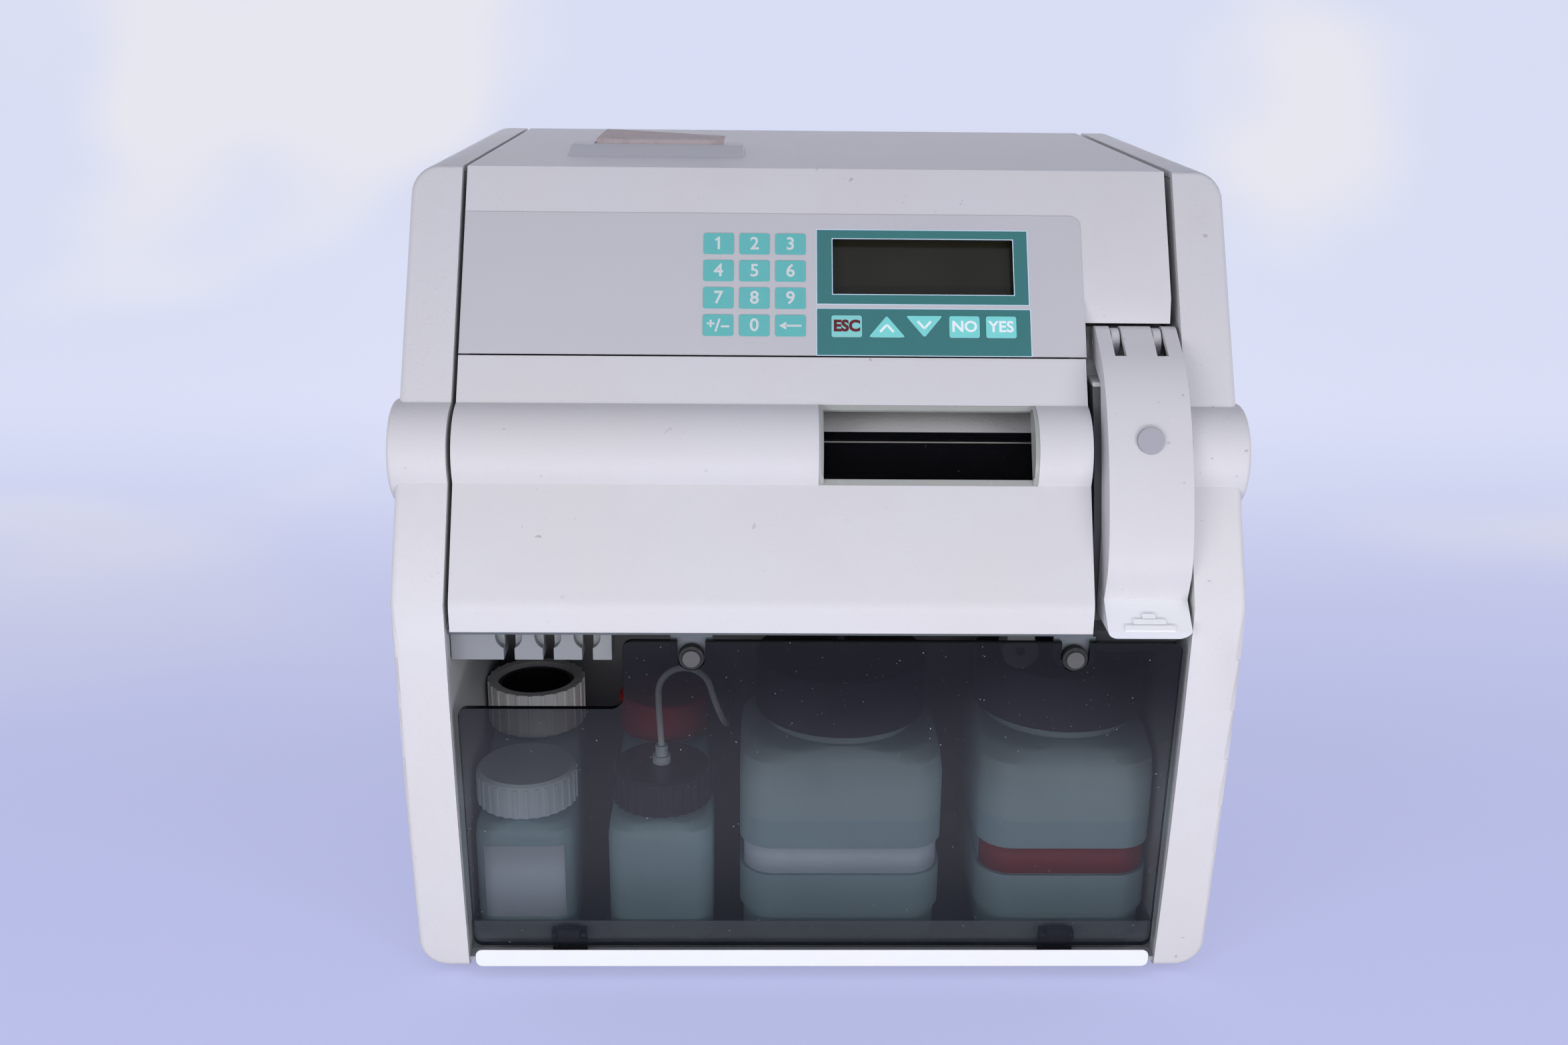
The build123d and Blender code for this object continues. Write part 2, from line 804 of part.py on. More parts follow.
def front_cover():
    """Lift-up cover with end walls, hinge knuckles and the opening in its drum."""
    face = cover_outline()
    keep = polygon(
        slope(cover_top_s, -3 * cover_rim),
        slope(cover_top_s, 3 * cover_rim),
        (0, cover_foot_z),
        (vertex_y - cover_rim, cover_foot_z),
    )
    inner = offset(face, amount=-wall)
    rim = (inner - offset(face, amount=-cover_rim)) & keep
    shell = along_x((face - inner) & keep, cover_left, cover_right)
    shell += along_x(rim, cover_left, cover_left + cover_rim_wall)
    shell += along_x(rim, cover_right - cover_rim_wall, cover_right)
    hinge_s = cover_top_s + hinge_inset_s
    lug = Pos(*cover_hinge) * Circle(knuckle_r) + polygon(
        slope(hinge_s - knuckle_r, hinge_depth),
        slope(hinge_s + knuckle_r, hinge_depth),
        slope(hinge_s + knuckle_r, wall / 2),
        slope(hinge_s - knuckle_r, wall / 2),
    )
    for x in knuckle_x:
        shell += along_x(lug, x - knuckle_width / 2, x + knuckle_width / 2)
        shell -= rod_x(cover_hinge, pin_r + pin_fit, x - knuckle_width, x + knuckle_width)
    return shell - chord_box(pane_left, pane_right, drum_r, cover_rim)


def cover_window():
    """Clear window let into the drum: a flat pane with a cheek at each end."""
    window = chord_box(pane_left, pane_right, 0, pane)
    cap_ends = along_x(cover_outline(), pane_left, pane_right)
    cap_ends = cap_ends & chord_box(pane_left, pane_right, drum_r, 0)
    middle = chord_box(pane_left + pane, pane_right - pane, drum_r, 0)
    return window + (cap_ends - middle)


def cover_hinge_arms():
    """Steel arms on the bulkhead, each with the hinge pin riveted through its end."""
    half = hinge_depth - wall - hinge_clearance
    turn = slope(cover_top_s + hinge_inset_s, hinge_depth + arm_drop)
    path = [cover_hinge, turn, (bulkhead_y, turn[1])]
    profile = polygon(*inset_path(path, half), *reversed(inset_path(path, -half)))
    profile += Pos(*cover_hinge) * Circle(half)
    arms = []
    for x in knuckle_x:
        outer = x - knuckle_width / 2 - fit
        arm = along_x(profile, outer - arm_width, outer)
        arms.append(arm + rod_x(cover_hinge, pin_r, outer, x + knuckle_width / 2 + 1))
    return arms


# ---------------------------------------------------------------- sample flap
flap_hinge = (flap_hinge_y, case_height - flap_hinge_drop)


def flap_points(shape):
    """Points given as distance behind the ridge and share of the height up to the hinge."""
    span = flap_hinge[1] - ridge[1]
    return [(vertex_y + setback, ridge[1] + share * span) for setback, share in shape]


lead = radians(flap_lead)
crown_start = (flap_hinge[0] - flap_nose_r * sin(lead), flap_hinge[1] + flap_nose_r * cos(lead))
crown_end = (
    flap_hinge[0] - crown_reach,
    ridge[1] + crown_share * (flap_hinge[1] - ridge[1]),
)
flap_front = [crown_end, *flap_points(flap_front_shape)]
lip_points = [(vertex_y + setback, ridge[1] + rise) for setback, rise in flap_lip_shape]
flap_back = [*lip_points[2:], *flap_points(flap_back_shape)]


def flap_region(inset, back_shift):
    """Side view of the flap: front curve inset by inset, back edge moved by back_shift."""
    front = inset_path([crown_start, *flap_front], inset)
    lip = inset_path([flap_front[-1], *lip_points[:3]], inset)[1:]
    lip[-1] = (lip[-1][0] + back_shift, lip[-1][1])
    rear = [(y + back_shift, z) for y, z in flap_back[1:]]
    below = (flap_hinge[0] + back_shift, flap_hinge[1] - flap_nose_r + wall / 2)
    tail = Polyline(front[-1], *lip, *rear, below, front[0])
    leave = (-cos(lead), -sin(lead))
    end = (front[-1][0] - front[-2][0], front[-1][1] - front[-2][1])
    return make_face([Spline(*front, tangents=(leave, end)), *tail.edges()])


def sample_flap():
    """Curved flap over the sample port: a shell with ear slots, a lens seat and grip bars."""
    outer = along_x(flap_region(0, 0), flap_left, flap_right)
    outer += rod_x(flap_hinge, flap_nose_r, flap_left, flap_right)
    corners = outer.faces().sort_by(Axis.Z)[0].edges().filter_by(Axis.Y)
    outer = fillet(corners, lip_corner_r)
    left, right = flap_left + flap_wall, flap_right - flap_wall
    hollow = along_x(flap_region(flap_wall, 4 * flap_wall), left, right)
    hollow += rod_x(flap_hinge, flap_nose_r - flap_wall, left, right)
    shell = outer - hollow
    slot_front_y = flap_hinge[0] - slot_reach
    for x in (flap_mid - ear_offset, flap_mid + ear_offset):
        half = ear_width / 2 + ear_gap
        floor = flap_hinge[1] - slot_reach
        shell -= block(x - half, x + half, slot_front_y, 0, floor, case_height)
    shell -= rod_x(flap_hinge, pin_r + pin_fit, flap_left, flap_right)
    shell -= lens_at(lens_r + pin_fit, 4 * flap_wall)
    for half, rise in grip_rises:
        shell += grip_bar(half, rise)
    return shell


def face_plane(a, b, share):
    """Plane square to the side view on the line from a down to b, with Z to the front."""
    run = hypot(b[0] - a[0], b[1] - a[1])
    spot = between(a, b, share)
    normal = (0, (b[1] - a[1]) / run, -(b[0] - a[0]) / run)
    return Plane(origin=(flap_mid, *spot), x_dir=(1, 0, 0), z_dir=normal)


def lens_at(r, depth):
    """Round plug square to the flap's face, from the lens's front inwards."""
    seat = face_plane(flap_front[1], flap_front[2], lens_share)
    return extrude(seat.offset(lens_rise) * Circle(r), amount=-depth)


def status_lens():
    """Translucent lamp lens pressed into the flap."""
    return lens_at(lens_r, lens_rise + flap_wall)


def grip_bar(half, rise):
    """Raised thumb bar on the flared lip, rise being its height above the lip's edge."""
    top, bottom = flap_front[-1], lip_points[0]
    run = hypot(bottom[0] - top[0], bottom[1] - top[1])
    seat = face_plane(top, bottom, 1 - rise / run)
    bar = Rectangle(2 * half, grip_size[0])
    return extrude(seat.offset(-grip_size[1] / 2) * bar, amount=3 / 2 * grip_size[1])


def flap_hinge_pin():
    return rod_x(flap_hinge, pin_r, flap_left + fit, flap_right - fit)


port_left = flap_left + port_insets[0]
port_right = flap_right - port_insets[1]
port_front = [(y + port_behind, z - fit) for y, z in flap_back]
port_top = flap_hinge[1] + port_rise
port_step = deck_top + port_levels[0]
port_shelf = deck_top + port_levels[1]
port_foot = deck_top - port_levels[2]
scoop = (vertex_y + scoop_setbacks[0], vertex_y + scoop_setbacks[1])


def sample_port_housing():
    """Fixed moulding behind the flap, with the two hinge ears and the sample port's seat."""
    hinge_y, hinge_z = flap_hinge
    body = polygon(
        (hinge_y + port_column[0], port_top),
        (hinge_y + port_column[1], port_top),
        (hinge_y + port_column[1], port_step),
        (bulkhead_y, port_step),
        (bulkhead_y, port_shelf),
        (scoop[1], port_shelf),
        (scoop[1], port_foot),
        (scoop[0], port_foot),
        (scoop[0], port_front[0][1] - wall),
        *port_front,
        (hinge_y - port_chin, port_front[-1][1]),
    )
    solid = along_x(body, port_left, port_right)
    foot_edges = solid.faces().sort_by(Axis.Z)[0].edges().filter_by(Axis.Y)
    solid = fillet(foot_edges, scoop_r)
    solid -= rod_x(flap_hinge, flap_nose_r + 3 * fit, port_left, port_right)
    web = polygon(
        (hinge_y, hinge_z - flap_nose_r),
        (hinge_y + flap_nose_r, port_top),
        (hinge_y + web_reach[0], port_top),
        (hinge_y + web_reach[0], hinge_z - web_reach[1]),
        (hinge_y - port_chin, hinge_z - web_reach[1]),
    )
    ear = Pos(*flap_hinge) * Circle(flap_nose_r - ear_step) + web
    for x in (flap_mid - ear_offset, flap_mid + ear_offset):
        solid += along_x(ear, x - ear_width / 2, x + ear_width / 2)
    solid -= rod_x(flap_hinge, pin_r + pin_fit, port_left, port_right)
    return solid - port_bore(port_bore_r, port_bore_depth)


port_plane = face_plane(port_front[3], port_front[2], 2 / 3)


def port_bore(r, depth):
    return extrude(port_plane.offset(wall) * Circle(r), amount=-depth - wall)


def fill_port():
    """Sample inlet: a stepped nozzle pressed into the housing, with a fine bore."""
    root = port_plane.offset(-port_bore_depth)
    nozzle = extrude(root * Circle(port_bore_r), amount=port_bore_depth)
    nozzle += extrude(port_plane * Circle(port_tip_r), amount=port_tip)
    throat = port_bore_depth - wall + port_tip
    return nozzle - extrude(root.offset(wall) * Circle(port_throat_r), amount=throat)


# ---------------------------------------------------------------- bottle bay door
door_plane = Plane(
    origin=(0, *door_foot), x_dir=(1, 0, 0), z_dir=(0, -cos(door_tilt), -sin(door_tilt))
)
tab_front = deck_front  # the catch tabs hang flush with the deck's front edge
catch_front = tab_front - catch_reach


def rise_of(z):
    """Height up the door of a point at level z."""
    return (z - door_foot[1]) / cos(door_tilt)


def bottle_door():
    """Smoked acrylic sheet with the reagent cut-out and the two catch notches."""
    floor = rise_of(deck_z - notch_drop)
    sheet = polygon(
        (-door_half_width, 0),
        (door_half_width, 0),
        (door_half_width, door_height),
        (notch_right, door_height),
        (notch_right, floor),
        (-door_half_width, floor),
    )
    inner = sheet.vertices().sort_by_distance((notch_right, floor, 0))[0]
    outer = [corner for corner in sheet.vertices() if corner != inner]
    sheet = fillet(inner, notch_r)
    sheet = fillet([sheet.vertices().sort_by_distance(corner)[0] for corner in outer], door_corner_r)
    for x in catch_x:
        rise = rise_of(catch_z)
        above = door_height - rise
        sheet -= Pos(x, rise) * Circle(catch_slot_r)
        sheet -= Pos(x, rise + above / 2) * Rectangle(2 * catch_slot_r, above)
    return extrude(door_plane * sheet, amount=-door_thickness)


def door_hinge_blocks():
    """Blocks bonded behind the door, each bored for a hinge pin."""
    height, depth = door_block_size
    blocks = []
    for x in door_hinge_x:
        plan = Pos(x, height / 2) * Rectangle(door_block_width, height)
        solid = extrude(door_plane.offset(-door_thickness) * plan, amount=-depth)
        blocks.append(solid - rod_x(door_pivot, door_pin_r + pin_fit, x - height, x + height))
    return blocks


def door_hinge_brackets():
    """U-shaped brackets on the base, each with the door's pin through its two ears."""
    near = door_block_width / 2 + fit
    far = near + bracket_ear
    ear_r = door_pivot_depth - door_thickness - fit
    y, z = door_pivot
    web_front, web_rear = y + bracket_web[0], y + bracket_web[1]
    ear = Pos(y, z) * Circle(ear_r)
    ear += polygon((y, z - ear_r), (web_rear, z - ear_r), (web_rear, z + ear_r), (y, z + ear_r))
    ear += polygon((web_front, base_z), (web_rear, base_z), (web_rear, z), (web_front, z))
    brackets = []
    for x in door_hinge_x:
        bracket = along_x(ear, x - far, x - near) + along_x(ear, x + near, x + far)
        foot_top = base_z + web_rear - web_front
        bracket += block(x - far, x + far, web_front, web_rear, base_z, foot_top)
        bracket += rod_x(door_pivot, door_pin_r, x - near, x + near)
        brackets.append(bracket)
    return brackets


def catch_grommets():
    """Rubber bushes that the door's notches grip."""
    return [rod_y((x, catch_z), catch_r, catch_front, tab_front) for x in catch_x]


def catch_screws():
    """Screws with flat heads that hold the bushes."""
    front = catch_front - catch_head
    return [rod_y((x, catch_z), catch_head_r, front, catch_front) for x in catch_x]


# ---------------------------------------------------------------- chassis
def chassis_tray():
    """Folded steel tray: the floor and the two side plates that the panels hang on."""
    tray = block(-inner_x, inner_x, pan_front, rear_in, pan_z, base_z)
    right = side_plate()
    return tray + right + mirror(right, about=Plane.YZ)


def base_lip():
    """White moulded lip along the foot of the front, with a ledge under the door."""
    half = inner_x - lip_gap
    rear = door_foot[0] - hinge_clearance / 2
    lip = block(-half, half, rear - lip_thickness, rear, pan_z, pan_z + lip_height)
    lip = fillet(lip.edges().filter_by(Axis.Y), lip_r)
    rear_top = lip.edges().filter_by(Axis.X).group_by(Axis.Z)[-1].sort_by(Axis.Y)[-1]
    lip = chamfer(rear_top, lip_bevel)
    ledge_half = half - lip_ledge_gap
    ledge_front, ledge_rear = rear - lip_thickness / 2, door_foot[0] + lip_ledge[0]
    ledge_top = base_z + lip_ledge[1]
    ledge = block(-ledge_half, ledge_half, ledge_front, ledge_rear, base_z, ledge_top)
    reach = door_block_width / 2 + fit + bracket_ear + 1
    for x in door_hinge_x:
        ledge -= block(x - reach, x + reach, rear, ledge_rear, pan_z, ledge_top)
    return lip + ledge


def bulkhead():
    """Steel wall between the wet bay and the electronics, with the cleaner hose's gland."""
    top = case_height - cover_rim - hinge_clearance
    sheet = block(-inner_x, inner_x, bulkhead_y, bulkhead_y + plate, base_z, top)
    x, y, z = cleaner_route[-1]
    return sheet + rod_y((x, z), gland_r, y, bulkhead_y)


def deck():
    """Shelf above the bottles, with tabs folded down to carry the door's catches."""
    shelf = block(-inner_x, inner_x, deck_front, bulkhead_y, deck_z, deck_top)
    shelf -= block(port_left - 1, inner_x, deck_front, scoop[1] + 1, deck_z, deck_top)
    half = tab_width / 2
    low = catch_z - catch_r + tab_thickness / 4
    tab = polygon(
        (-half, deck_z),
        (-half, low + half / 3),
        (-half * 2 / 3, low),
        (half * 2 / 3, low),
        (half, low + half / 3),
        (half, deck_z),
    )
    for x in catch_x:
        shelf += along_y(Pos(x, 0) * tab, tab_front, tab_front + tab_thickness)
    return shelf


def rear_panel():
    """Sheet-metal back with vent slots and the connector cut-outs."""
    front = rear_in - rear_plate
    top = case_height - wall - fit
    sheet = block(-inner_x, inner_x, front, rear_in, base_z, top)
    middle = case_height - vent_drop - (vent_rows - 1) * vent_pitch / 2
    columns = GridLocations(2 * (inner_x - vent_inset), vent_pitch, 2, vent_rows)
    for spot in columns:
        slot = Pos(0, middle) * spot * SlotOverall(*vent_size)
        sheet -= along_y(slot, front, rear_in)
    sheet -= along_y(module_plan(fit), front, rear_in)
    for spot in gas_spots:
        sheet -= rod_y(spot, gas_shank_r + gas_fit, front, rear_in)
    return sheet


inlet_spot = (inner_x - inlet_inset, inlet_z)
switch_spot = (inlet_spot[0] - switch_offset, inlet_z)
gas_spots = [(inset - inner_x, gas_z) for inset in gas_insets]
rocker_pivot = (rear_in - rocker_sink, switch_spot[1])


def module_plan(margin=0.0):
    """Outline of the inlet module behind its flange, grown by margin."""
    left = switch_spot[0] - module_reach[0] - margin
    right = inlet_spot[0] + module_reach[1] + margin
    shape = Rectangle(right - left, inlet_height + 2 * margin)
    return Pos((left + right) / 2, inlet_z) * shape


def power_inlet():
    """Mains inlet module: a recessed socket with three blades beside the switch's well."""
    back = rear_in + flange_thickness
    shift = module_reach[1] - module_reach[0]
    centre = Pos((inlet_spot[0] + switch_spot[0] + shift) / 2, inlet_z)
    shell = along_y(module_plan(), rear_in - inlet_depth, rear_in)
    shell += along_y(centre * RectangleRounded(*flange_size, flange_r), rear_in, back)
    cavity = Rectangle(*socket_size)
    cavity = chamfer(cavity.vertices().group_by(Axis.Y)[-1], socket_cut)
    shell -= along_y(Pos(*inlet_spot) * cavity, rear_in - socket_depth, back)
    well_size = (rocker_width + 2 * rocker_gap[0], 2 * (rocker_half + rocker_gap[1]))
    well = Pos(*switch_spot) * Rectangle(*well_size)
    shell -= along_y(well, rear_in - rocker_sink - rocker_root - wall, back)
    for x, z in blade_spots:
        blade = Pos(inlet_spot[0] + x, inlet_z + z) * Rectangle(*blade_size)
        shell += along_y(blade, rear_in - socket_depth - blade_size[0], rear_in - wall)
    return shell


def power_rocker():
    """Rocker of the mains switch: a shallow vee that tips about its middle."""
    y, z = rocker_pivot
    half = rocker_half
    face = polygon(
        (y - rocker_root, z - half / 3),
        (y + rocker_edge, z - half),
        (y + rocker_tip, z - half + rocker_slant),
        (y + rocker_valley, z),
        (y + rocker_tip, z + half - rocker_slant),
        (y + rocker_edge, z + half),
        (y - rocker_root, z + half / 3),
    )
    x = switch_spot[0]
    return along_x(face, x - rocker_width / 2, x + rocker_width / 2)


def gas_nipples():
    """Barbed hose nipples for the two calibration gases, turned from hexagon bar."""
    tip = case_rear + nipple_reach
    seat = rear_in + gas_flange
    nipples = []
    for x, z in gas_spots:
        solid = along_y(Pos(x, z) * RegularPolygon(gas_hex_r, 6), rear_in, seat)
        solid += rod_y((x, z), gas_shank_r, rear_in - 2 * gas_shank_r, seat)
        solid += rod_y((x, z), gas_neck_r, seat, tip)
        for step in range(gas_barbs):
            root = Plane((x, tip - gas_barb - step * gas_barb_pitch, z), z_dir=(0, 1, 0))
            solid += Solid.make_cone(gas_barb_r, gas_neck_r, gas_barb, root)
        nipples.append(solid - rod_y((x, z), gas_bore_r, rear_in - 2 * gas_shank_r, tip))
    return nipples


def feet():
    """Four round feet under the tray."""
    rows = (pan_front + foot_front, case_rear - foot_rear)
    spots = [(x, y) for x in (foot_inset - half_width, half_width - foot_inset) for y in rows]
    return [rod_z(spot, foot_r, -foot_height, pan_z) for spot in spots]


# ---------------------------------------------------------------- bottle bay contents
tray_front = door_foot[0] + tray_setback
tray_floor = base_z + tray_wall
bottle_front = tray_front + tray_wall + bottle_gap
large_cap_top = deck_z - large_headroom
large_neck = large_cap_top - large_cap_height
large_shoulder = large_neck - large_shoulder_height
small_neck = small_shoulder + small_neck_rise
small_cap_top = small_neck + small_cap_height
rear_left_neck = rear_left_shoulder + rear_left_rise
rear_right_neck = rear_right_shoulder + rear_right_rise

left_edge = side_gaps[0] - inner_x
right_edge = inner_x - side_gaps[1]
row_widths = (reference_size[0], cleaner_size[0], wash_size[0], waste_size[0])
spare_width = right_edge - left_edge - sum(row_widths)
cleaner_left = left_edge + row_widths[0] + gap_shares[0] * spare_width
wash_left = cleaner_left + row_widths[1] + gap_shares[1] * spare_width
reference_at = (left_edge + reference_size[0] / 2, bottle_front + reference_size[1] / 2)
cleaner_at = (cleaner_left + cleaner_size[0] / 2, bottle_front + cleaner_size[1] / 2)
wash_at = (wash_left + wash_size[0] / 2, bottle_front + wash_size[1] / 2)
waste_at = (right_edge - waste_size[0] / 2, bottle_front + waste_size[1] / 2)
rear_left_at = (reference_at[0] - rear_shift, bottle_front + rear_rows[0])
rear_right_at = (cleaner_at[0] - rear_shift, bottle_front + rear_rows[1])

spigot_rise = spigot[0][1] + spigot[1][1]
hose_start = (*cleaner_at, small_cap_top + spigot_rise)
cleaner_route = [
    hose_start,
    *[(hose_start[0] + x, hose_start[1] + y, hose_start[2] + z) for x, y, z in hose_bends],
    (hose_start[0] + hose_end[0], bulkhead_y - gland_length, hose_start[2] + hose_end[1]),
]


def drip_tray():
    """Shallow tray that catches spills under the bottles."""
    half, rear = inner_x - hinge_clearance, bulkhead_y - 1
    top = base_z + tray_height
    tray = block(-half, half, tray_front, rear, base_z, top)
    return tray - block(
        tray_wall - half,
        half - tray_wall,
        tray_front + tray_wall,
        rear - tray_wall,
        tray_floor,
        top,
    )


def bottle(centre, size, neck_r, shoulder_z, neck_z, corner_r):
    """Blow-moulded bottle: rounded-square body, domed shoulder and round neck."""
    body = along_z(Pos(*centre) * RectangleRounded(*size, corner_r), tray_floor, shoulder_z)
    body = fillet(body.faces().sort_by(Axis.Z)[0].edges(), bottle_foot_r)
    rings = []
    for share, shrink in shoulder_shape:
        sides = [side + shrink * (2 * neck_r - side) for side in size]
        ring_r = corner_r + shrink * (neck_r - 0.5 - corner_r)
        level = Plane((*centre, shoulder_z + share * (neck_z - shoulder_z)))
        rings.append(level * RectangleRounded(*sides, ring_r))
    body += loft(rings, ruled=True)
    throat_r = neck_r - neck_step
    return body + rod_z(centre, throat_r, (shoulder_z + neck_z) / 2, neck_z + neck_stub)


def large_bottle(centre, size):
    """Bottle with a waist and a foot band, where its wall is set back."""
    body = bottle(centre, size, large_neck_r, large_shoulder, large_neck, large_corner_r)
    inner = [side - 2 * waist_depth for side in size]
    sleeve = Rectangle(*[side + 2 for side in size])
    sleeve = Pos(*centre) * (sleeve - RectangleRounded(*inner, large_corner_r - waist_depth))
    waist_top = large_shoulder - waist_drop
    body -= along_z(sleeve, waist_top - waist_height, waist_top)
    return body - along_z(sleeve, tray_floor, tray_floor + foot_band)


def small_bottle(centre, size, shoulder_z, neck_z):
    return bottle(centre, size, small_neck_r, shoulder_z, neck_z, small_corner_r)


def ribbed(r, count):
    """Round section with a rib at every step of its rim."""
    ribs = PolarLocations(r - rib_depth, count) * Rectangle(2 * rib_depth, rib_width)
    return Circle(r - rib_depth) + ribs


def cap(centre, neck_r, overhang, z0, height, ribs=0):
    """Screw cap, chamfered on top and bored over the bottle's neck."""
    r = neck_r + overhang
    z1 = z0 + height
    if ribs:
        solid = along_z(Pos(*centre) * ribbed(r, ribs), z0, z1 - 2 * cap_edge)
        solid += rod_z(centre, r - rib_depth, z1 - 2 * cap_edge, z1)
    else:
        solid = rod_z(centre, r, z0, z1)
    solid = chamfer(solid.faces().sort_by(Axis.Z)[-1].edges(), cap_edge)
    return solid - rod_z(centre, neck_r - neck_step, z0, z1 - cap_top)


def hose_spigot(centre, z):
    """Hose spigot moulded on a bottle cap: a flange and a neck."""
    (flange, low), (neck, high) = spigot
    return rod_z(centre, flange, z, z + low) + rod_z(centre, neck, z + low, z + low + high)


def rear_ring_cap():
    """Open-topped screw ring of the rear left bottle, notched round its rim."""
    top = rear_left_neck + ring_height
    section = Pos(*rear_left_at) * (ribbed(ring_r, ring_ribs) - Circle(ring_bore_r))
    return along_z(section, rear_left_neck, top)


def rear_ring_insert():
    """Black cup held in the screw ring."""
    top = rear_left_neck + ring_height - insert_drop
    cup = rod_z(rear_left_at, ring_bore_r, top - insert_height, top)
    inside_r = ring_bore_r - insert_wall
    return cup - rod_z(rear_left_at, inside_r, top - insert_height + insert_wall, top)


def tube_comb():
    """Slotted rail that keeps the reagent tubes apart."""
    left = hinge_clearance - inner_x
    right = left + comb_width
    front = vertex_y + comb_front_setback
    rear = front + comb_depth
    rail = block(left, right, front, rear, deck_z - comb_height, deck_z)
    for i in range(comb_slots):
        x = comb_first - inner_x + i * comb_pitch
        half = comb_slot / 2
        rail -= block(x - half, x + half, front, rear, deck_z - comb_height, deck_z - comb_roof)
        pocket = Pos(x, deck_z - comb_roof) * Circle(comb_pocket_r)
        rail -= along_y(pocket, front, front + comb_pocket_depth)
    return rail


def hose_coupling():
    """Round hose coupling hung under the deck."""
    front = vertex_y + comb_front_setback
    rear = front + coupling_length
    x, z = catch_x[1] - coupling_inset, deck_z - coupling_drop
    neck = 3 / 4 * coupling_r
    ring = rod_y((x, z), coupling_r, front, rear) + block(x - neck, x + neck, front, rear, z, deck_z)
    return ring - rod_y((x, z), coupling_bore_r, front, (front + rear) / 2)


def tube_along(points, r, share=0.45):
    """Flexible tube: straight runs joined by tangent arcs."""
    runs = [Vector(*b) - Vector(*a) for a, b in zip(points, points[1:])]
    radii = []
    for a, b in zip(runs, runs[1:]):
        turn = radians(a.get_angle(b))
        radii.append(share * min(a.length, b.length) / tan(turn / 2))
    path = FilletPolyline(*points, radius=radii)
    return sweep(Plane(path @ 0, z_dir=path % 0) * Circle(r), path=path)


# ---------------------------------------------------------------- fluidics behind the cover
chamber_x = (pane_left - chamber_insets[0], pane_right + chamber_insets[1])
chamber_z = (deck_top + chamber_stand, drum_centre[1] + chamber_rise)
electrode_z = (chamber_z[0] + chamber_z[1]) / 2
electrode_x = [
    chamber_x[0] + electrode_first + i * electrode_pitch for i in range(electrode_count)
]


def measuring_chamber():
    """Heated block with a row of electrode bores, open to the front."""
    (left, right), (floor, top) = chamber_x, chamber_z
    front = chamber_front + chamber_glass
    mouth_rear = front + chamber_depth
    body = block(left, right, front, bulkhead_y, floor, top)
    sill, lintel = floor + chamber_mouth[0], top - chamber_mouth[1]
    body -= block(left + chamber_cheek, right - chamber_cheek, front, mouth_rear, sill, lintel)
    for x in electrode_x:
        body -= rod_y((x, electrode_z), electrode_r + fit, front, 0)
    return body


def electrode(x):
    """Cylindrical sensor with a threaded collar and a glass tip."""
    spot = (x, electrode_z)
    tip = chamber_front + 2 * chamber_glass
    collar = tip + electrode_tip
    solid = rod_y(spot, tip_r, tip, collar) + rod_y(spot, electrode_r, collar, 0)
    return solid + rod_y(spot, collar_r, collar, collar + electrode_tip)


def chamber_window():
    """Dark front pane of the measuring chamber."""
    return block(*chamber_x, chamber_front, chamber_front + chamber_glass, *chamber_z)


def chamber_hood():
    """Pale sloping lid over the measuring chamber."""
    height, depth = hood_size
    top = chamber_z[1]
    face = polygon(
        (chamber_front, top),
        (chamber_front, top + hood_lip),
        (chamber_front + hood_slope, top + height),
        (chamber_front + depth, top + height),
        (chamber_front + depth, top),
    )
    return along_x(face, *chamber_x)


pump_at = (pump_inset - inner_x, drum_centre[1] - pump_drop)
pump_rear = pump_front + pump_depth
race_r = pump_orbit + pump_roller_r + race_gap
rotor_y = (pump_front + 1, pump_rear - pump_back - 1)
roller_spots = [
    (pump_at[0] + pump_orbit * cos(radians(angle)), pump_at[1] + pump_orbit * sin(radians(angle)))
    for angle in range(90, 450, 360 // roller_count)
]


def pump_housing():
    """Block of the roller pump with its round race, open below for the tube."""
    x, z = pump_at
    race_rear = pump_rear - pump_back
    body = block(x - pump_half, x + pump_half, pump_front, pump_rear, z - pump_half, z + pump_half)
    body = fillet(body.edges().filter_by(Axis.Y), pump_corner_r)
    body -= rod_y(pump_at, race_r, pump_front, race_rear)
    body -= block(x - race_r, x + race_r, pump_front, race_rear, z - pump_half, z)
    return body - rod_y(pump_at, shaft_r + fit, race_rear, pump_rear)


def pump_motor():
    return rod_y(pump_at, motor_r, pump_rear, bulkhead_y)


def pump_rotor():
    """Two discs on the motor shaft, with the roller pins between them."""
    front, rear = rotor_y
    rotor = rod_y(pump_at, rotor_r, front, front + rotor_disc)
    rotor += rod_y(pump_at, rotor_r, rear - rotor_disc, rear)
    rotor += rod_y(pump_at, rotor_hub_r, front, rear) + rod_y(pump_at, shaft_r, rear, pump_rear)
    for spot in roller_spots:
        rotor += rod_y(spot, roller_pin_r, front, rear)
    return rotor


def pump_roller(spot):
    front, rear = rotor_y[0] + rotor_disc + fit, rotor_y[1] - rotor_disc - fit
    ring = rod_y(spot, pump_roller_r, front, rear)
    return ring - rod_y(spot, roller_pin_r + pin_fit, front, rear)


def pinch_valves():
    """Solenoid pinch valves in a row on the deck, each with its tube nip on top."""
    width, depth, height = valve_head
    nip_width, nip_depth = valve_nip
    neck = deck_top + valve_height
    top = neck + height
    valves = []
    for i in range(valve_count):
        x = valve_first + i * valve_pitch
        rear, front = valve_y + depth / 2, valve_y - depth / 2
        solid = rod_z((x, valve_y), valve_r, deck_top, neck)
        solid += block(x - width / 2, x + width / 2, front, rear, neck, top)
        solid -= block(x - nip_width / 2, x + nip_width / 2, front, rear, top - nip_depth, top)
        valves.append(solid)
    return valves


# ---------------------------------------------------------------- printer
printer_x = (slot_x[0] - cheek_gap, slot_x[1] + cheek_gap)


